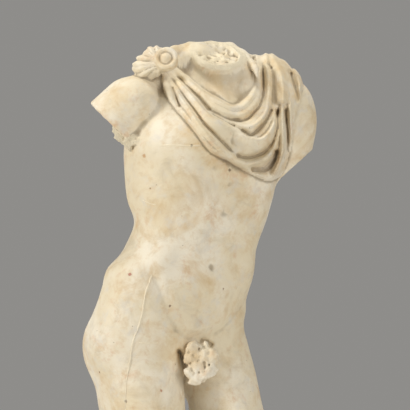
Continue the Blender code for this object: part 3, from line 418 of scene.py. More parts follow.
def cleft(x, y, z):
    c, s = math.cos(math.radians(body["hipTurn"])), math.sin(math.radians(body["hipTurn"]))
    across = x - body["hipMiddle"]
    u, v = across * c + y * s, y * c - across * s
    depth = 2.0 * np.exp(-(((u + 0.6) / 1.2) ** 2))
    return depth * eased(v, 3, 9) * eased(z, 82, 88) * (1 - eased(z, 98, 105))


def shoulders(x, y, z, d):
    saw = 0.12 * roughness(x, y, z, 1.1)  # the stumps are sawn flat, with faint marks
    right = taper(x, y, z, (-15.6, -4.9, 146.4), (-23.6, -5.8, 139.2), 6.4, 6.3)
    right = common(right, (x + 23.9) * -0.69 + (y + 5) * 0.03 + (z - 147.0) * -0.73 + saw, 0.3)
    left = taper(x, y, z, (17.0, 7.2, 147.4), (18.4, 8.6, 130.0), 5.9, 5.3)
    left = merged(left, egg(x, y, z, (18.5, 7.6, 143.8), (5.9, 6.4, 8.7)), 1.5)
    left = common(left, (x - 24.2) * 0.67 + (z - 138.3) * -0.75 + saw, 0.3)
    slopes = merged(
        taper(x, y, z, (-1.5, 4.5, 156.5), (-13.0, -1.5, 150.5), 3.2, 3.0),
        taper(x, y, z, (6.6, 6.2, 155.2), (14.9, 7.4, 152.3), 2.8, 3.2),
        1.0,
    )
    d = merged(merged(d, right, 1.6), left, 1.6)
    return merged(d, slopes, 3.0)


neckShape = {
    "breakHeight": 157.9,
    "breakRise": 0.6,  # towards the back
    "breakFall": 0.16,  # towards the figure's left
    "rim": 0.85,  # width of the smooth band around the torn middle
    "torn": 0.7,  # depth of the torn middle
    "grains": [(1.9, 0.35), (1.0, 0.65), (0.6, 0.4)],
    "lip": 0.4,
}


def neckBreak(x, y, z):
    rise, fall = neckShape["breakRise"], neckShape["breakFall"]
    return (z - (neckShape["breakHeight"] + rise * (y - 1) - fall * (x - 3))) * 0.84


def neck(x, y, z):
    d = taper(x, y, z, (2.8, 4.0, 145), (2.8, 0.7, 164), 6.1, 5.1)
    d = merged(d, taper(x, y, z, (0.4, -1.6, 155), (4.6, -4.2, 147.5), 1.0, 1.0), 2.4)
    return merged(d, taper(x, y, z, (7.0, 2.6, 156.6), (9.4, 1.4, 150.0), 1.7, 2.2), 1.6)


def snapped(x, y, z, skin):  # the neck broken off, with a smooth lip left around the torn middle
    d = neck(x, y, z)
    rim = neckShape["rim"] + 0.3 * roughness(x, y, z, 2.6)
    inner = eased(-d, rim, rim + 0.3)
    torn = neckShape["torn"] + roughened(x, y, z, 0, neckShape["grains"])
    broken = neckBreak(x, y, z) + 0.1 * roughness(x, y, z, 2.0) - 2 * np.maximum(d, 0) + inner * torn
    lip = 0.71 * (d + broken) + neckShape["lip"] + 0.12 * roughness(x, y, z, 1.4)
    return common(common(skin, broken, 0.08), lip, 0.05)


def armpitPatch(x, y, z):  # what was left of the broken plaster below the right stump
    line = [(-17.8, -6.6, 142.8), (-17.0, -7.2, 141.0), (-15.4, -8.2, 139.2), (-13.6, -9.4, 139.0)]
    d = rope(x, y, z, line, (1.4, 1.9, 1.6, 0.9))
    return roughened(x, y, z, d, [(1.2, 0.45), (0.75, 0.4), (0.5, 0.3)])


# The cloak as it is seen, in x and height
cloakCut = {
    "thickness": 0.9,  # between folds
    "neckLine": [
        (-5.8, 155.2), (-2.6, 152.4), (0.6, 149.8), (4.3, 147.9), (6.3, 147), (8.6, 148.4), (10.1, 150.9),
        (10.9, 154.1), (10.7, 156.2),
    ],
    "hem": [
        (-9.2, 154), (-8.6, 149.9), (-6.4, 146.2), (-3.9, 143.2), (-1.5, 140.2), (1.1, 136.8),
        (4.7, 134.8), (9, 132.5), (12.8, 130.8), (15.2, 131), (17.1, 132.7), (18.8, 138.5),
        (20.2, 145.3), (21.3, 151.9), (21, 156),
    ],
    "backHem": [
        (-14.6, 156), (-14.4, 150), (-11, 141), (-5, 135), (2, 131.8), (9, 130.6),
        (15, 132.5), (19, 138), (20.6, 145), (21.2, 151), (20.8, 157),
    ],
    # points, height, reach towards the neck and away from it, whether it runs on over the shoulder
    "folds": [
        ([(-5.4, 154.4), (-3, 151.8), (-0.9, 149.9), (1.3, 148.5), (3.9, 147.1), (6.3, 146.1),
         (8.2, 146.5), (9.7, 148), (10.9, 149.9), (11.5, 152.4), (11.7, 155.6), (11, 158.8),
         (10.6, 164)], 1.04, 0.9, 1.6, True),
        ([(0.2, 147.2), (2.6, 145.9), (5.1, 144.9), (7.7, 144.7), (9.4, 145.6), (11.1, 147.5),
         (12, 149.8), (12.1, 153.4)], 0.91, 1.4, 0.9, False),
        ([(0.6, 146), (1.7, 145.2), (3.9, 144.1), (6, 143), (7.7, 142.3), (9.4, 142.1), (10.9, 142.7),
         (12.2, 143.8), (13.3, 145.5), (13.7, 148.1), (13.9, 151.1), (13.8, 154.1), (13.5, 158),
         (13.2, 164)], 1.3, 0.8, 0.9, True),
        ([(-6, 152.9), (-4.3, 150.8), (-2.6, 148.7), (-1.1, 146.9), (0.4, 145.2), (2.1, 144),
         (4.3, 142.9), (6.8, 141.5), (8.3, 140.5), (9.8, 139.7), (11.6, 139.4), (12.8, 140),
         (13.9, 141.2), (14.8, 143.2), (15.2, 145.6)], 1.95, 0.55, 4.2, False),
        ([(-6.8, 152.2), (-5.6, 149.6), (-4.1, 147.2), (-2.6, 144.9), (-0.9, 142.2), (0.9, 139.9),
         (2.8, 138), (4.7, 136.3), (6.6, 135), (8.6, 134.3), (10.7, 134.5), (12.6, 135.2),
         (14.1, 136.4), (15.2, 138.2)], 1.82, 1.3, 1.1, False),
        ([(-8.6, 151.5), (-7.7, 148.7), (-6.2, 146.4), (-4.5, 144.6), (-2.8, 142.4), (-1.3, 140.4),
         (0, 138.7), (1.5, 137.2), (3.2, 136.1), (5.3, 135), (7.9, 133.8), (9.9, 132.7),
         (12, 131.8), (13.9, 131.7)], 0.91, 1.2, 0.5, False),
        ([(-8.1, 153.4), (-7.3, 150.6), (-6.5, 148), (-5.8, 146)], 0.91, 0.8, 0.9, False),
        ([(16.9, 148), (16.7, 144.2), (16.7, 141.2), (16.7, 138.2), (16.3, 135.7), (15.4, 133.3),
         (14.3, 131.6)], 2.08, 0.9, 0.85, False),
        ([(18.3, 149), (18.5, 143.8), (18.7, 139.5), (18.5, 136.5), (17.6, 134)], 1.3, 0.55, 0.6,
         False),
        ([(14.8, 164), (14.8, 158.2), (15.6, 156), (16.4, 153.6), (16.9, 149.8), (16.9, 146.6)], 1.95,
         1.9, 2, True),
        ([(19.2, 164), (19.4, 156.5), (20.3, 152.6), (20.8, 149.5), (20.7, 146.4)], 1.17, 0.8, 0.6, True),
    ],
    # points, depth, width
    "hollows": [
        ([(-6.4, 153.4), (-5.1, 152.4), (-3.9, 151.1), (-2.6, 149.8), (-1.1, 148.3), (0, 147),
         (1.1, 145.7), (2.6, 144.9), (4.3, 144), (6, 143.4), (8.6, 142.8)], 1.2, 0.38),
        ([(5.6, 144), (7.1, 143.6), (8.3, 143.5), (9.6, 144.1), (10.7, 145.3), (11.8, 146.6),
         (12.4, 148.5), (12.7, 150.9), (12.7, 153.4), (12.5, 156.8)], 1.32, 0.38),
        ([(1.1, 145.1), (3.4, 143.7), (5.4, 142.6), (6.8, 142)], 0.72, 0.38),
        ([(7.3, 141.7), (8.6, 140.9), (9.8, 140.4), (11.1, 141.2), (12.2, 142.3), (13.3, 143.8),
         (14.1, 145.3), (14.6, 146.6)], 1.8, 0.38),
        ([(15.8, 146.6), (15.6, 144.5), (15.6, 142.5), (15.2, 140.8), (14.6, 139.1), (13.7, 137.6)], 1.68,
         0.38),
        ([(-7.1, 153.2), (-6.2, 151.7), (-5.1, 150), (-3.9, 148.1), (-2.6, 146.4), (-1.3, 144.5),
         (-0.2, 142.7), (1.3, 141.2), (2.6, 139.9), (3.9, 138.7), (5.1, 137.5), (6.4, 136.3)], 1.08,
         0.38),
        ([(6.4, 136.3), (7.9, 135.6), (9.8, 135.6), (11.6, 136.2), (13.1, 137.1), (14.3, 138.8)], 1.2, 0.6),
        ([(9.4, 133.1), (11.1, 133), (12.8, 133.2), (14.1, 134.3), (15, 135.9), (15.4, 137.8)], 2.28,
         0.6),
        ([(-6.8, 151.1), (-6, 149.2), (-5.6, 147.7), (-5.1, 145.9)], 1.2, 0.38),
        ([(17.3, 146.6), (17.5, 144.7), (17.8, 142.3), (18, 139.5), (18.2, 136.1)], 1.44, 0.38),
        ([(14.4, 155.9), (14.9, 152.7), (15.1, 149.8), (15, 147)], 0.24, 0.7),
        ([(18.5, 154.9), (19.2, 151.9), (19.9, 149.2), (20.2, 147.2)], 0.96, 0.4),
        ([(13.6, 156.2), (14.1, 155.4), (14.7, 154.9)], 0.45, 0.4),
    ],
    "backSwags": 5,
    # points and radii of the roll of cloth around the back of the neck
    "roll": [
        (11.3, -1.2, 153), (11, 0.4, 154.8), (10, 2.8, 156), (8, 5.4, 158), (5.6, 7.4, 159.4),
        (1.5, 8.2, 159.6), (-3, 6.2, 159.3), (-6.2, 2, 158.4), (-8.6, -2.6, 157.4),
    ],
    "rollRadii": (0.3, 0.7, 0.9, 1.2, 1.4, 1.5, 1.5, 1.4, 1.3),
}


def fold(u, w, line, height, inner, outer):
    points = smoothLine(line, 4)
    d, along, side = fromLine(u, w, points)
    reach = np.where(side > 0, inner, outer)
    t = np.clip(d / reach, 0, 1)
    gentle = (1 - t) ** 1.6 * (1 + 0.7 * t)
    shape = np.where(reach > 1.45, gentle, 0.5 * gentle + 0.5 * np.sqrt(1 - t * t))
    n = len(points) - 1
    ends = eased(along, 0, n * 0.08 + 0.5) * (1 - eased(along, n * 0.94 - 0.5, n))
    return height * shape * (0.35 + 0.65 * ends)


def cloak(x, y, z, skin):
    above = 170.0
    hem, neckLine, backHem = [list(smoothLine(cloakCut[key], 3)) for key in ("hem", "neckLine", "backHem")]
    frontShape = hem + [(20.8, above), (10.0, above)] + neckLine[::-1]
    frontShape += [(-5.6, 158.0), (-5.6, above), (-13.8, above), (-13.8, 155.6), (-11.6, 154.0)]
    backShape = backHem + [(20.8, above), (-14.6, above)]
    inFront = y < 1.8 + 0.42 * (x - 1.5)
    e = np.where(inFront, insideBy(x, z, frontShape), insideBy(x, z, backShape))
    thin = 1 + 2.2 * eased(x, 17.5, 20.0) * (1 - eased(z, 146.5, 150.5))  # the edge on the arm lies flatter
    edge = np.sqrt(np.clip(1 - (1 - np.clip(e / (cloakCut["thickness"] * thin), 0, 1)) ** 2, 0, 1))
    folds = np.zeros_like(x)
    for line, height, inner, outer, runsOver in cloakCut["folds"]:
        behind = eased(z, 138, 154) if runsOver else 0
        folds = -merged(-folds, -fold(x, z, line, height, inner, outer) * np.where(inFront, 1, behind), 0.35)
    for i in range(cloakCut["backSwags"]):
        half, sag, middle = 15.5 - 0.3 * i, 4.0 + 3.6 * i, 3.0 + 0.6 * i
        line = 154.5 - sag * np.clip(1 - ((x - middle) / half) ** 2, 0, 1) - 0.06 * i * (x - middle)
        off = (z - line) / np.sqrt(1 + (2 * sag * np.abs(x - middle) / half**2) ** 2)
        swag = 1.1 * np.exp(-((off / np.where(off > 0, 0.7, 1.6)) ** 2))
        folds = -merged(-folds, -swag * ~inFront, 0.5)
    over = eased(z, 149, 156)
    thick = edge * cloakCut["thickness"] + folds * eased(e, 0.0, 0.6) * (1 - 0.55 * over)
    thick = thick + 0.9 * over * edge * eased(x, 11.0, 13.5) * (1 - eased(x, 17.0, 19.5))
    for line, sink, width in cloakCut["hollows"]:
        thick = thick - sink * crease(x, z, smoothLine(line, 3), width) * inFront * eased(e, 0, 0.5)
    thick = np.maximum(thick, 0.15 * edge)
    return np.where(e > 0, skin - thick, skin + 0.3 + np.minimum(-e, 2))


broochShape = {
    "centre": (-8.0, -8.7, 156.4),
    "radius": 2.45,
    "facing": (-0.12, -0.94, 0.31),
    "pleats": 16,  # narrow folds to half a turn around it
    "pleatRise": 0.75,
}


def brooch(x, y, z):
    n = np.array(broochShape["facing"]) / np.linalg.norm(broochShape["facing"])
    dx, dy, dz = [v - c for v, c in zip((x, y, z), broochShape["centre"])]
    w = dx * n[0] + dy * n[1] + dz * n[2]
    r = np.sqrt(np.maximum(dx * dx + dy * dy + dz * dz - w * w, 0))
    radius = broochShape["radius"]
    disc = common(r - radius, np.abs(w + 0.6) - 1.0, 0.3)
    rim = np.sqrt((r - radius * 0.83) ** 2 + (w - 0.4) ** 2) - 0.5
    dome = np.sqrt(r**2 + (w + 0.1) ** 2) - radius * 0.52
    return roughened(x, y, z, merged(merged(disc, rim, 0.3), dome, 0.15), [(1.1, 0.1)])


def pleats(x, y, z):
    near = [(-8.6, -6.4, 155.6), (-10.4, -3.2, 156.4), (-10.0, 3.0, 155.2), (-8.6, 7.2, 151.0)]
    outer = [(-9.0, -6.2, 155.4), (-12.3, -3.6, 154.7), (-12.0, 1.5, 153.6), (-10.4, 5.5, 150.0)]
    d = merged(rope(x, y, z, near, (1.7, 2.8, 2.5, 1.5)), rope(x, y, z, outer, (1.6, 2.7, 2.4, 1.4)), 0.8)
    cx, cy, cz = broochShape["centre"]
    a = np.arctan2(z - cz + 0.8, cx - x) + 0.12 * roughness(x, y, z, 3.5)
    away = np.hypot(x - cx, z - cz)
    fan = 0.25 + 0.75 * eased(cx + 2.5 - x, 0, 2.5)  # plainer on the neck's side
    count = broochShape["pleats"]
    ridges = 0.6 * np.abs(np.cos(count * 0.8 * a)) + 0.4 * np.abs(np.cos(count * 0.5 * a + 0.9))
    d = d - broochShape["pleatRise"] * fan * (ridges - 0.5) * eased(away, 1.8, 3.2)
    return roughened(x, y, z, d, [(0.8, 0.08)])


leafShape = {
    "centre": (-0.8, -10.2, 92.1),
    # x, height and radius of the lobes and of the drilled holes between them
    "lobes": [
        (-2.2, 95.4, 1.5), (1.3, 93.9, 1.6), (1.4, 91.1, 1.4), (0.1, 90.2, 1.4), (-1.8, 89.3, 1.5),
        (-3.1, 90.5, 1.3), (-2.9, 93.2, 1.5),
    ],
    "holes": [
        (0, 92.4, 0.36), (0.1, 91.6, 0.26), (1.1, 92, 0.26), (-3, 92.4, 0.26), (-3.7, 91.9, 0.3),
        (-1.1, 95.4, 0.26), (-1, 90.5, 0.22), (-2.2, 92.7, 0.2), (-1.5, 92.9, 0.2),
    ],
    "holeDepth": 0.75,
}


def leaf(x, y, z):
    middle = leafShape["centre"]
    d = egg(x, y, z, middle, (2.9, 2.1, 3.8))
    for across, height, size in leafShape["lobes"]:
        d = merged(d, egg(x, y, z, (across, middle[1] - 0.6, height), (size, 1.5, size)), 0.4)
    stalk = taper(x, y, z, (0.5, middle[1] + 0.6, 96.4), (0.3, middle[1] - 1.2, 94.4), 0.5, 0.55)
    d = roughened(x, y, z, merged(d, stalk, 0.15), [(1.0, 0.35), (0.9, 0.22), (0.55, 0.24)])
    for across, height, size in leafShape["holes"]:
        away = np.hypot(x - across, (z - height) * 0.8)
        d = np.where(y < middle[1] + 0.6, d + leafShape["holeDepth"] * np.exp(-((away / size) ** 2)), d)
    return d


def groin(x, y, z):  # the parting of the thighs and the shade above the leaf
    parting = [(-5.6, 95.7), (-4.8, 93.4), (-4.2, 91.0), (-3.6, 88.6), (-3.4, 84.0), (-3.3, 76.0)]
    hollow = [(-1.0, 97.0), (0.6, 96.6), (2.0, 95.6)]
    cut = 2.4 * crease(x, z, parting, 0.5) + 0.9 * crease(x, z, hollow, 0.6)
    return cut * (1 - eased(y, -4.5, -1.0))


def squared(p, q):  # distance from the corner where two faces meet
    return np.sqrt(np.maximum(p, 0) ** 2 + np.maximum(q, 0) ** 2) + np.minimum(np.maximum(p, q), 0)


def groundSlab(x, y, z):  # the thin ground under the feet, square to the plinth
    u = x * turnCos + y * turnSin - sculpt["centre"][0]
    v = y * turnCos - x * turnSin - sculpt["centre"][1]
    corner, edge = sculpt["groundCorner"] / unit, 0.6
    du = np.abs(u) - sculpt["groundSize"][0] / unit / 2 + corner
    dv = np.abs(v) - sculpt["groundSize"][1] / unit / 2 + corner
    plan = squared(du, dv) - corner
    thick = sculpt["groundThickness"] / unit
    level = np.abs(z + thick / 2) - thick / 2
    slab = squared(plan + edge, level + edge) - edge
    return slab + 0.08 * eased(z, -2.5, -0.5) * roughness(x, y, z * 0 + 1, 3.0)


def figureField(x, y, z):  # the whole casting
    d = rump(x, y, z, trunk(x, y, z))
    legs = merged(leg(x, y, z, body["standingLeg"], -1), leg(x, y, z, body["easyLeg"], 1), 0.6)
    d = merged(d, legs, 2.5) + cleft(x, y, z)
    low = z < 20
    if low.any():
        p = x[low], y[low], z[low]
        right = foot(*p, body["standingLeg"][0][1:3], body["headings"][0], -1)
        left = foot(*p, body["easyLeg"][0][1:3], body["headings"][1], 1)
        feet = np.maximum(merged(d[low], np.minimum(right, left), 2.0), -2.0 - p[2])
        d[low] = merged(feet, groundSlab(*p), 0.8)
    high = z > 120
    if high.any():
        p = x[high], y[high], z[high]
        cover = shoulders(*p, d[high])
        skin = snapped(*p, merged(cover, neck(*p), 2.2))
        skin = merged(skin, armpitPatch(*p), 0.6)
        cloth = merged(cloak(*p, cover), rope(*p, cloakCut["roll"], cloakCut["rollRadii"]), 0.8)
        cloth = merged(cloth, pleats(*p), 0.4)
        cloth = merged(cloth, brooch(*p), 0.3)
        d[high] = merged(skin, cloth, 0.3)
    middle = leafShape["centre"]
    near = (np.abs(x - middle[0]) < 9) & (y < 0) & (np.abs(z - middle[2]) < 14)
    if near.any():
        p = x[near], y[near], z[near]
        d[near] = merged(d[near] + groin(*p), leaf(*p), 0.15)
    return d


def nearSurface(field, low, high, step):  # the field on a fine lattice near the surface, coarse elsewhere
    coarse = 4
    counts = np.ceil((np.array(high) - low) / (step * coarse)).astype(int) + 1
    axes = [(low[i] + step * coarse * np.arange(counts[i])).astype(np.float32) for i in range(3)]
    grid = np.meshgrid(*axes, indexing="ij")
    rough = field(*(g.ravel() for g in grid)).reshape(counts)
    near = np.abs(rough) < step * coarse * 1.5
    cells = np.zeros(counts - 1, bool)
    for corner in cubeCorners:
        cells |= near[tuple(slice(side, count - 1 + side) for side, count in zip(corner, counts))]
    fine = rough[:-1, :-1, :-1].repeat(coarse, 0).repeat(coarse, 1).repeat(coarse, 2)
    offsets = np.stack(np.meshgrid(*[np.arange(coarse)] * 3, indexing="ij"), -1).reshape(-1, 3)
    index = (np.argwhere(cells)[:, None] * coarse + offsets).reshape(-1, 3)
    points = (np.array(low) + index * step).astype(np.float32)
    fine[tuple(index.T)] = field(*points.T.copy())
    return fine


def crossings(inside):  # lattice edges that the surface crosses: axis, start and whether it starts inside
    found = []
    for axis in range(3):
        first, second = [slice(None)] * 3, [slice(None)] * 3
        first[axis], second[axis] = slice(0, -1), slice(1, None)
        starts = inside[tuple(first)]
        edges = np.argwhere(starts != inside[tuple(second)])
        found.append((axis, edges, starts[tuple(edges.T)]))
    return found


def around(edges, axis):  # the four cells around each of these lattice edges, in turn
    ring = []
    for p, q in ((1, 1), (0, 1), (0, 0), (1, 0)):
        cell = edges.copy()
        cell[:, (axis + 1) % 3] -= p
        cell[:, (axis + 2) % 3] -= q
        ring.append(cell)
    return ring


def joinedUp(chosen):
    chosen = set(chosen)
    found = [chosen.pop()] if chosen else []
    for corner in found:
        for other in list(chosen):
            if sum(abs(p - q) for p, q in zip(corner, other)) == 1:
                chosen.remove(other)
                found.append(other)
    return not chosen


def fillPinches(values):  # cells where the surface would touch itself at an edge or a point are filled
    pinched = np.zeros(256, bool)
    for code in range(256):
        inside = [corner for i, corner in enumerate(cubeCorners) if code >> i & 1]
        outside = [corner for i, corner in enumerate(cubeCorners) if not code >> i & 1]
        pinched[code] = not (joinedUp(inside) and joinedUp(outside))
    for turn in range(20):
        inside = values < 0
        cells = np.concatenate([c for axis, edges, starts in crossings(inside) for c in around(edges, axis)])
        flat = np.unique(np.ravel_multi_index(tuple(cells.T), values.shape))
        cells = np.stack(np.unravel_index(flat, values.shape), 1)
        code = np.zeros(len(cells), np.int32)
        for i, corner in enumerate(cubeCorners):
            code |= inside[tuple((cells + corner).T)].astype(np.int32) << i
        bad = cells[pinched[code]]
        if not len(bad):
            break
        for cell in bad:
            outside = [tuple(cell + corner) for corner in cubeCorners if values[tuple(cell + corner)] >= 0]
            if outside:
                values[min(outside, key=lambda corner: values[corner])] = -1e-3
    return values


def skinOf(values, low, step):  # one vertex in each crossed cell, one square across each crossed edge
    rings, sums = [], []
    for axis, edges, starts in crossings(values < 0):
        ends = edges.copy()
        ends[:, axis] += 1
        a, b = values[tuple(edges.T)], values[tuple(ends.T)]
        point = edges.astype(np.float64)
        point[:, axis] += a / (a - b)
        ring = [np.ravel_multi_index(tuple(cell.T), values.shape) for cell in around(edges, axis)]
        sums += [(cell, point) for cell in ring]
        ring = np.stack(ring, 1)
        ring[~starts] = ring[~starts][:, ::-1]
        rings.append(ring)
    rings = np.concatenate(rings)
    cells, number = np.unique(rings.ravel(), return_inverse=True)
    total, count = np.zeros((len(cells), 3)), np.zeros(len(cells))
    for cell, point in sums:
        place = np.searchsorted(cells, cell)
        count += np.bincount(place, minlength=len(cells))
        for i in range(3):
            total[:, i] += np.bincount(place, weights=point[:, i], minlength=len(cells))
    return np.array(low) + total / count[:, None] * step, number.reshape(-1, 4)


def meshFrom(name, vertices, faces):
    mesh = bpy.data.meshes.new(name)
    mesh.vertices.add(len(vertices))
    mesh.vertices.foreach_set("co", np.asarray(vertices, np.float32).ravel())
    mesh.loops.add(faces.size)
    mesh.loops.foreach_set("vertex_index", faces.astype(np.int32).ravel())
    mesh.polygons.add(len(faces))
    mesh.polygons.foreach_set("loop_start", np.arange(0, faces.size, faces.shape[1], dtype=np.int32))
    mesh.update(calc_edges=True)
    return mesh


def placed(name, mesh):
    thing = bpy.data.objects.new(name, mesh)
    bpy.context.scene.collection.objects.link(thing)
    return thing


def bakedDown(thing, triangles):  # the same form with fewer faces, as the object's own mesh
    facets = thing.modifiers.new("facets", "DECIMATE")
    facets.ratio = min(1, triangles / (2 * len(thing.data.polygons)))
    thinner = bpy.data.meshes.new_from_object(thing.evaluated_get(bpy.context.evaluated_depsgraph_get()))
    thing.modifiers.clear()
    thing.data = thinner
    return thing


step = sculpt["grain"]
latticeLow = (-27.5, -31.0, -5.0)
latticeHigh = (36.0, 29.5, 163.5)
lattice = fillPinches(nearSurface(figureField, latticeLow, latticeHigh, step))
vertices, faces = skinOf(lattice, latticeLow, step)
print("figure sculpted:", len(faces), "squares")
figure = placed("castFigure", meshFrom("castFigure", toWorld(vertices), faces))
figure = bakedDown(figure, sculpt["triangles"])
print("figure thinned to", len(figure.data.polygons), "triangles")


def fetched(data, name, width, kind=np.float32):
    values = np.empty(len(data) * width, kind)
    data.foreach_get(name, values)
    return values.reshape(-1, width)


def hollowness(mesh, rounds):  # how deep each vertex sits below its surroundings, in mm
    count = len(mesh.vertices)
    where = fetched(mesh.vertices, "co", 3).astype(float)
    normal = fetched(mesh.vertices, "normal", 3)
    a, b = fetched(mesh.edges, "vertices", 2, np.int32).T
    share = 1 / np.maximum(np.bincount(a, minlength=count) + np.bincount(b, minlength=count), 1)
    soft = where.copy()
    for turn in range(rounds):
        for i in range(3):
            total = np.bincount(a, weights=soft[b, i], minlength=count)
            soft[:, i] = share * (total + np.bincount(b, weights=soft[a, i], minlength=count))
    return ((soft - where) * normal).sum(1) * 1000, where


def painted(mesh, name, values):
    layer = mesh.attributes.new(name, "FLOAT", "POINT")
    layer.data.foreach_set("value", np.asarray(values, np.float32))


# Where dirt stays and where painted shade darkens hollows, creases and deep folds: rounds of smoothing of the
# copy that the surface is held against, and the full depth in mm
dirtAndShadeDepths = {"hollow": (14, 3.0), "slot": (5, 1.1), "deep": (90, 12.0)}
dirtAndShadeOnLegs = 0.55  # how much of the deep dirt and painted shade is left below the chest

wearAndShade = {}
for name, (rounds, full) in dirtAndShadeDepths.items():
    depth, where = hollowness(figure.data, rounds)
    wearAndShade[name] = np.clip(depth / full, -1, 1)
sx, sy, sz = toSculpt(where).astype(np.float32).T
breakHeight, neckSide = neckBreak(sx, sy, sz), neck(sx, sy, sz)
# the cloak's edge runs out softly on the arm, with less dirt and painted shade in the corner
onArm = eased(sx, 18.6, 19.8) * (sz > 128) * (1 - eased(sz, 146.5, 150.5))
wearAndShade["hollow"] *= 1 - 0.8 * onArm
wearAndShade["slot"] *= 1 - 0.8 * onArm
# the front of the neck under the break is darkened with a brown stain and painted shade, as it turns down
# away from the light
throatStainAndShade = (1 - eased(np.abs(neckSide), 0.2, 0.9)) * eased(-breakHeight, 0.6, 3.0)
throatStainAndShade *= eased(sz, 145, 147) * (sy < 1.5)
wearAndShade["deep"] = np.maximum(wearAndShade["deep"] * (dirtAndShadeOnLegs + (1 - dirtAndShadeOnLegs) * eased(sz, 128, 132)), 0.35 * throatStainAndShade)
# a painted shadow in a band just under the overhanging lip of the break, laid into the hollow layer
shadowUnderLip = eased(-breakHeight, 0.75, 0.95) * (1 - eased(-breakHeight, 1.2, 3.4)) * (throatStainAndShade > 0.3)
wearAndShade["hollow"] = np.maximum(wearAndShade["hollow"], 0.6 * throatStainAndShade + 0.45 * shadowUnderLip)
# plaster broken open is paler, less so in the torn middle; the smooth lip's paleness is also a painted
# highlight where it faces up to the light
freshNeckAndLipHighlight = eased(breakHeight, -0.95, -0.7) * (1 - 0.6 * eased(-neckSide, 0.9, 1.3)) * (sz > 153)
freshNeckAndLipHighlight *= (1 - eased(breakHeight, 0.6, 1.0)) * (1 - eased(neckSide, 0.4, 0.9))
freshPatch = 1 - eased(armpitPatch(sx, sy, sz), 0.0, 0.35)
wearAndShade["freshAndHighlight"] = np.clip(freshNeckAndLipHighlight + 1.5 * freshPatch, 0, 1.5)
for name, amount in wearAndShade.items():
    painted(figure.data, name, amount)
figure.data.shade_smooth()

surfaceTree = BVHTree.FromPolygons(
    [v.co for v in figure.data.vertices], [tuple(p.vertices) for p in figure.data.polygons]
)
viewAlong = Vector((turnSin, turnCos, 0))  # level, away from the side that it is shown from


def onFront(x, height):  # the surface point behind a place in the view, x and height in sculpted cm
    start = Vector(toWorld([(x, -60.0, height)])[0])
    hit, normal, face, distance = surfaceTree.ray_cast(start, viewAlong)
    return (hit, normal) if hit else (None, None)


# Raised joints that the piece mould left, and how they run in the view: x and height in cm
moulds = {
    "width": 0.0052,
    "rise": 0.0024,
    "waveMm": 9,  # length of the unevenness along a joint
    "lines": [
        [(-10.8, 111.3), (-12.3, 106.8), (-12.9, 102.9), (-13.9, 99.5), (-14.8, 97.2), (-15.6, 92.2),
         (-16.3, 88.2), (-16.5, 81.7), (-16.4, 74), (-15.6, 66), (-14.2, 58)],
        [(-9.4, 138), (-6, 138.1), (-3.2, 137.9), (-0.8, 138.1)],
        [(-13.7, 96.9), (-11.6, 96.6), (-9.6, 96.8)],
        [(-13.1, 126.7), (-11.6, 126), (-10.1, 125.6)],
    ],
}


def ringMesh(name, rings):  # a closed skin over rings of points
    bm = bmesh.new()
    rings = [[bm.verts.new(point) for point in ring] for ring in rings]
    count = len(rings[0])
    for below, above in zip(rings, rings[1:]):
        for i in range(count):
            bm.faces.new((below[i], below[(i + 1) % count], above[(i + 1) % count], above[i]))
    bm.faces.new(rings[0][::-1])
    bm.faces.new(rings[-1])
    bmesh.ops.recalc_face_normals(bm, faces=bm.faces)
    mesh = bpy.data.meshes.new(name)
    bm.to_mesh(mesh)
    bm.free()
    mesh.shade_smooth()
    return mesh


def mouldLine(points, number):
    places = [onFront(x, height) for x, height in smoothLine(points, 10)]
    places = [(hit, normal) for hit, normal in places if hit]
    rings = []
    for i, (hit, normal) in enumerate(places):
        ahead = places[min(i + 1, len(places) - 1)][0] - places[max(i - 1, 0)][0]
        across = normal.cross(ahead).normalized()
        wave = roughness(*(np.array([v * 1000]) for v in hit), moulds["waveMm"])[0]
        end = min(1, i / 3, (len(places) - 1 - i) / 3)
        rise = moulds["rise"] * (0.8 + 0.35 * wave) * end - 0.0003
        half = moulds["width"] / 2 * (0.8 + 0.3 * wave)
        crest, foot = rise * 0.55, -0.0012
        profile = [(-1, foot), (-0.55, crest), (0, rise), (0.55, crest), (1, foot), (0, foot - 0.001)]
        rings.append([hit + across * half * u + normal * w for u, w in profile])
    mesh = ringMesh("mouldLine%d" % number, rings)
    # the joints are coloured paler along their width, as raised parts and as fresh plaster: a painted
    # highlight on their crest
    painted(mesh, "hollow", np.full(len(mesh.vertices), -0.6))
    painted(mesh, "freshAndHighlight", np.full(len(mesh.vertices), 0.5))
    return placed(mesh.name, mesh)


mouldLines = [mouldLine(points, i + 1) for i, points in enumerate(moulds["lines"])]
print("mould lines laid:", len(mouldLines))

plinthShape = {  # heights from the underside up, in m
    "foot": 0.035,
    "moulding": 0.025,
    "top": 0.020,
    "step": 0.028,  # how far the top stands back
    "edge": 0.0025,
}


def plinthProfile():  # inset and height, from the underside up: square band, hollow moulding, square band
    foot, moulding, step = plinthShape["foot"], plinthShape["moulding"], plinthShape["step"]
    fillet = moulding * 0.14
    rows = [(0, 0), (0, foot), (fillet, foot), (fillet, foot + fillet)]
    for i in range(13):
        a = math.radians(7.5 * i)
        inset = fillet + (step - 2 * fillet) * math.sin(a)
        rows.append((inset, foot + fillet + (moulding - 2 * fillet) * (1 - math.cos(a))))
    rows.append((step, foot + moulding - fillet))
    rows.append((step, foot + moulding + plinthShape["top"]))
    return rows


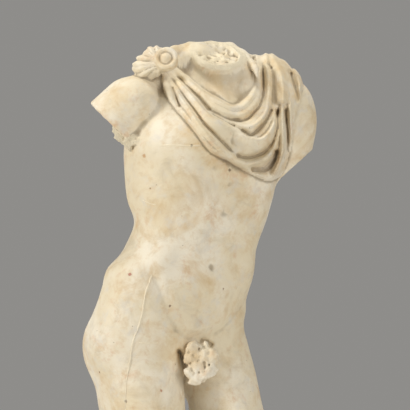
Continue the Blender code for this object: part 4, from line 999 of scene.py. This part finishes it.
def makePlinth():
    middle = [(plinthLow[i] + plinthHigh[i]) / 2 for i in range(2)]
    half = [(plinthHigh[i] - plinthLow[i]) / 2 for i in range(2)]
    rings = []
    for inset, height in plinthProfile():
        x, y, z = half[0] - inset, half[1] - inset, plinthLow[2] + height
        corners = (-1, -1), (1, -1), (1, 1), (-1, 1)
        rings.append([(middle[0] + a * x, middle[1] + b * y, z) for a, b in corners])
    mesh = ringMesh("castPlinth", rings)
    mesh.set_sharp_from_angle(angle=math.radians(40))
    plinth = placed("castPlinth", mesh)
    edge = plinth.modifiers.new("edge", "BEVEL")
    edge.width = plinthShape["edge"]
    edge.segments = 3
    edge.limit_method = "ANGLE"
    edge.angle_limit = math.radians(50)
    return plinth


plinth = makePlinth()
print("plinth made")


def linear(hexText):  # an sRGB hex colour as the linear values that a shader takes
    parts = [int(hexText[i : i + 2], 16) / 255 for i in (1, 3, 5)]
    return (*[p / 12.92 if p <= 0.04045 else ((p + 0.055) / 1.055) ** 2.4 for p in parts], 1)


def addNode(tree, kind, settings={}, inputs={}):  # inputs take a socket to link or a fixed value
    made = tree.nodes.new("ShaderNode" + kind)
    for key, value in settings.items():
        setattr(made, key, value)
    for key, value in inputs.items():
        if isinstance(value, bpy.types.NodeSocket):
            tree.links.new(value, made.inputs[key])
        else:
            made.inputs[key].default_value = value
    return made


# Gypsum plaster cast in a piece mould, handled and aged: matt cream, tan where dirt and old sealer sank in,
# with painted shade in hollows and creases and a painted highlight on raised parts, whiter where it broke.
# Sizes are in mm.
plasterLook = {
    # dirt and grime also paint shade into hollows, creases and deep folds; pale and fresh also paint
    # highlights on raised parts, the neck's lip and the mould joints
    "cream": "#E3D6BA",
    "pale": "#ECE3D0",
    "grey": "#D9D3C8",
    "tan": "#CDAF7E",
    "orange": "#CB9A68",
    "dirtAndShade": "#94805F",
    "grimeAndShade": "#7A6A54",
    "freshAndHighlight": "#F4E8CC",
    "freshness": 0.8,
    "roughness": 0.72,
    "ior": 1.52,
    # colour, size of the clouds, detail, roughness, warp, cloud value where it starts and is full, strength
    "stains": [
        ("pale", 166.67, 5, 0.6, 0.0, 0.42, 0.62, 1.0),
        ("tan", 90.91, 8, 0.65, 0.6, 0.47, 0.70, 0.56),
        ("orange", 52.63, 6, 0.7, 0.4, 0.55, 0.72, 0.46),
        ("tan", 29.41, 8, 0.7, 0.3, 0.48, 0.70, 0.42),
        ("grey", 38.46, 6, 0.65, 0.2, 0.50, 0.70, 0.6),
        ("dirtAndShade", 66.67, 7, 0.7, 0.8, 0.50, 0.74, 0.24),
        ("tan", 7.143, 3, 0.6, 0.0, 0.62, 0.80, 0.3),
    ],
    # colour, painted layer, its value where the dirt starts and is full, strength: dirt with painted shade in
    # hollows, creases and deep folds; raised parts are pale, rubbed clean and with a painted highlight
    "dirtAndShadeHeld": [
        ("dirtAndShade", "hollow", 0.12, 1.0, 0.45),
        ("grimeAndShade", "slot", 0.3, 1.0, 0.34),
        ("grimeAndShade", "deep", 0.25, 1.0, 0.5),
        ("pale", "hollow", -0.05, -0.7, 0.35),
    ],
    # size, detail and roughness of the other patterns
    "patches": (11.11, 6, 0.7),
    "sheen": (33.33, 4, 0.55),
    "grain": (1.2, 2, 0.55),
    "lumps": (14.0, 5, 0.6),
    "torn": (5.556, 6, 0.75),
    "ragged": (4.545, 3, 0.5),
    "pinholes": 5.263,
    "specks": 16.67,
    # strength and height in m of each one's bumps, the torn one's strength from the layer of fresh breaks and
    # painted highlight
    "relief": [
        ("grain", 0.25, 0.0004),
        ("lumps", 0.5, 0.0016),
        ("pinholes", 0.3, 0.0006),
        ("torn", None, 0.004),
    ],
}
# Spots that show, as x and height in cm in the view, radius in mm and colour
spots = [
    ((-15.6, 111.1), 5, "#B0705A"),
    ((-7.1, 104.4), 4, "#7A5A40"),
    ((-22.0, 90.3), 3, "#8A6242"),
    ((-9.0, 86.7), 4, "#B8835F"),
    ((4.1, 107.9), 3, "#8E6F52"),
    ((-11.3, 129.1), 3, "#9A7A5C"),
    ((-2.6, 138.0), 4, "#57422F"),
    ((5.4, 132.9), 5, "#6D5840"),
    ((-12.6, 135.9), 6, "#C49A6C"),
    ((-16.4, 84.5), 4, "#6E4F3A"),
]


def plasterMaterial(name, look, dots):
    material = bpy.data.materials.new(name)
    material.use_nodes = True
    tree = material.node_tree
    shader = tree.nodes["Principled BSDF"]
    shader.inputs["IOR"].default_value = look["ior"]
    shader.inputs["Metallic"].default_value = 0
    place = addNode(tree, "TexCoord").outputs["Object"]
    smooth, multiply = {"interpolation_type": "SMOOTHSTEP"}, {"operation": "MULTIPLY"}
    layers, patterns = {}, {}
    for layer in ("hollow", "slot", "deep", "freshAndHighlight"):
        layers[layer] = addNode(tree, "Attribute", {"attribute_name": layer}).outputs["Fac"]
    for pattern in ("patches", "sheen", "grain", "lumps", "torn", "ragged"):
        size, detail, rough = look[pattern]
        noise = {"Vector": place, "Scale": 1000 / size, "Detail": detail, "Roughness": rough}
        patterns[pattern] = addNode(tree, "TexNoise", {}, noise).outputs
    for pattern in ("pinholes", "specks"):
        cells = {"Vector": place, "Scale": 1000 / look[pattern]}
        patterns[pattern] = addNode(tree, "TexVoronoi", {}, cells).outputs

    def stained(colour, tint, value, low, high, most, within=None):  # more of the tint as value nears high
        span = {"Value": value, "From Min": low, "From Max": high, "To Max": most}
        amount = addNode(tree, "MapRange", smooth, span).outputs["Result"]
        if within:
            amount = addNode(tree, "Math", multiply, {0: amount, 1: within}).outputs[0]
        mix = {0: amount, 6: colour, 7: linear(tint)}
        return addNode(tree, "Mix", {"data_type": "RGBA"}, mix).outputs[2]

    colour = linear(look["cream"])
    for tint, size, detail, rough, warp, low, high, most in look["stains"]:
        noise = {"Vector": place, "Scale": 1000 / size, "Detail": detail, "Roughness": rough}
        noise["Distortion"] = warp
        cloud = addNode(tree, "TexNoise", {}, noise).outputs["Fac"]
        colour = stained(colour, look[tint], cloud, low, high, most)
    span = {"Value": patterns["patches"]["Fac"], "From Min": 0.3, "From Max": 0.62}
    patches = addNode(tree, "MapRange", smooth, span).outputs["Result"]
    # dirt and painted shade held by the hollow, slot and deep layers, and paler raised parts as painted
    # highlight
    for tint, layer, low, high, most in look["dirtAndShadeHeld"]:
        within = patches if layer == "deep" else None
        colour = stained(colour, look[tint], layers[layer], low, high, most, within)
    # a few of the cells hold a speck
    red = addNode(tree, "SeparateColor", {}, {"Color": patterns["specks"]["Color"]}).outputs[0]
    few = addNode(tree, "Math", {"operation": "GREATER_THAN"}, {0: red, 1: 0.86}).outputs[0]
    speck = {0: patterns["specks"]["Distance"], 1: 0.085}
    speck = addNode(tree, "Math", {"operation": "LESS_THAN"}, speck).outputs[0]
    colour = stained(colour, look["dirtAndShade"], speck, 0.0, 1.0, 0.6, few)
    shift = {0: patterns["ragged"]["Color"], 1: (0.006, 0.006, 0.006), 2: place}
    shifted = addNode(tree, "VectorMath", {"operation": "MULTIPLY_ADD"}, shift).outputs[0]
    for (x, height), radius, tint in dots:
        hit, normal = onFront(x, height)
        if hit:
            ends = {0: shifted, 1: tuple(c + 0.003 for c in hit)}
            away = addNode(tree, "VectorMath", {"operation": "DISTANCE"}, ends).outputs["Value"]
            colour = stained(colour, tint, away, radius / 1000, radius / 2500, 0.85)
    # paler where the plaster broke, and as painted highlight on the neck's lip and the mould joints
    paler = addNode(tree, "Math", multiply, {0: layers["freshAndHighlight"], 1: look["freshness"]}).outputs[0]
    mix = {0: paler, 6: colour, 7: linear(look["freshAndHighlight"])}
    colour = addNode(tree, "Mix", {"data_type": "RGBA"}, mix).outputs[2]
    tree.links.new(colour, shader.inputs["Base Color"])
    sheen = {0: patterns["sheen"]["Fac"], 1: 0.2, 2: look["roughness"] - 0.1}
    sheen = addNode(tree, "Math", {"operation": "MULTIPLY_ADD"}, sheen).outputs[0]
    tree.links.new(sheen, shader.inputs["Roughness"])

    span = {"Value": patterns["pinholes"]["Distance"], "From Min": 0.0, "From Max": 0.16}
    pinholes = addNode(tree, "MapRange", smooth, span).outputs["Result"]
    bump = {}
    for pattern, strength, rise in look["relief"]:
        bump["Height"] = pinholes if pattern == "pinholes" else patterns[pattern]["Fac"]
        bump.update(Strength=layers["freshAndHighlight"] if pattern == "torn" else strength, Distance=rise)
        bump["Normal"] = addNode(tree, "Bump", {}, bump).outputs[0]
    tree.links.new(bump["Normal"], shader.inputs["Normal"])
    return material


# the figure's plaster, with dirt and painted shade in its hollows and a painted highlight on raised parts
agedPlasterWithPaintedShade = plasterMaterial("gypsum plaster, cast and aged", plasterLook, spots)
# the plinth's plaster is brushed with a thin paint: a shade darker and more even
plinthLook = dict(plasterLook, cream="#DACDB4", pale="#E0D5C0", lumps=(30.0, 5, 0.6))
plinthPlaster = plasterMaterial("gypsum plaster, painted", plinthLook, [])
for piece in [figure] + mouldLines:
    piece.data.materials.clear()
    piece.data.materials.append(agedPlasterWithPaintedShade)
    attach(piece, "root")
plinth.data.materials.append(plinthPlaster)
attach(plinth, "root")
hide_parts("figure")
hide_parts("plinth")
print("materials set")

# The photograph's view: level, about 6 m away, at chest height
view = {
    "distance": 6.0,
    "sidewaysCm": 0.2,
    "heightCm": 125.6,
    "widthCm": 87.74,  # across the whole picture at the figure
}
studio = {
    "floorRadius": 6,
    "floor": "#E4E2DE",
    "world": "#DCDAD6",
    "worldStrength": 0.38,
    "aim": 1.2,  # height that the lights point at
    # name, place to the right, away from the camera and up, size, watts, colour
    "lights": [
        ("key", (-4.8, -2.15, 2.9), 1.0, 170, "#FFFCF6"),
        ("fill", (2.8, -4.2, 2.2), 2.2, 104, "#FFFDF8"),
        ("top", (-0.3, 0.0, 4.2), 1.2, 40, "#FFFBF2"),
        ("back", (1.5, 3.0, 3.2), 1.5, 20, "#FFFFFF"),
    ],
}


def makeCamera():
    aim = Vector(toWorld([(view["sidewaysCm"], 0.0, view["heightCm"])])[0])
    camera = placed("camera", bpy.data.cameras.new("camera"))
    camera.location = aim - viewAlong * view["distance"]
    camera.rotation_euler = (aim - camera.location).to_track_quat("-Z", "Y").to_euler()
    camera.data.lens = camera.data.sensor_width * view["distance"] / (view["widthCm"] * unit)
    bpy.context.scene.camera = camera


def softbox(name, where, size, power, tint):
    light = bpy.data.lights.new(name, "AREA")
    light.shape = "RECTANGLE"
    light.size = light.size_y = size
    light.energy = power
    light.color = linear(tint)[:3]
    lamp = placed(name, light)
    aside = Vector((viewAlong.y, -viewAlong.x, 0))
    lamp.location = aside * where[0] + viewAlong * where[1] + Vector((0, 0, where[2]))
    lamp.rotation_euler = (Vector((0, 0, studio["aim"])) - lamp.location).to_track_quat("-Z", "Y").to_euler()


def makeStudio():
    bpy.ops.mesh.primitive_circle_add(vertices=96, radius=studio["floorRadius"], fill_type="NGON")
    floor = bpy.context.object
    floor.location.z = plinthLow[2]
    floor.name = "floor"
    paint = bpy.data.materials.new("studio floor, matt painted")  # so dull that no light is mirrored in it
    paint.use_nodes = True
    paint.node_tree.nodes["Principled BSDF"].inputs["Base Color"].default_value = linear(studio["floor"])
    paint.node_tree.nodes["Principled BSDF"].inputs["Roughness"].default_value = 0.9
    floor.data.materials.append(paint)
    world = bpy.data.worlds.new("studio")
    bpy.context.scene.world = world
    world.use_nodes = True
    world.node_tree.nodes["Background"].inputs["Color"].default_value = linear(studio["world"])
    world.node_tree.nodes["Background"].inputs["Strength"].default_value = studio["worldStrength"]
    for light in studio["lights"]:
        softbox(*light)
    bpy.context.scene.view_settings.view_transform = "Standard"


makeCamera()
makeStudio()
print("camera and lights set")
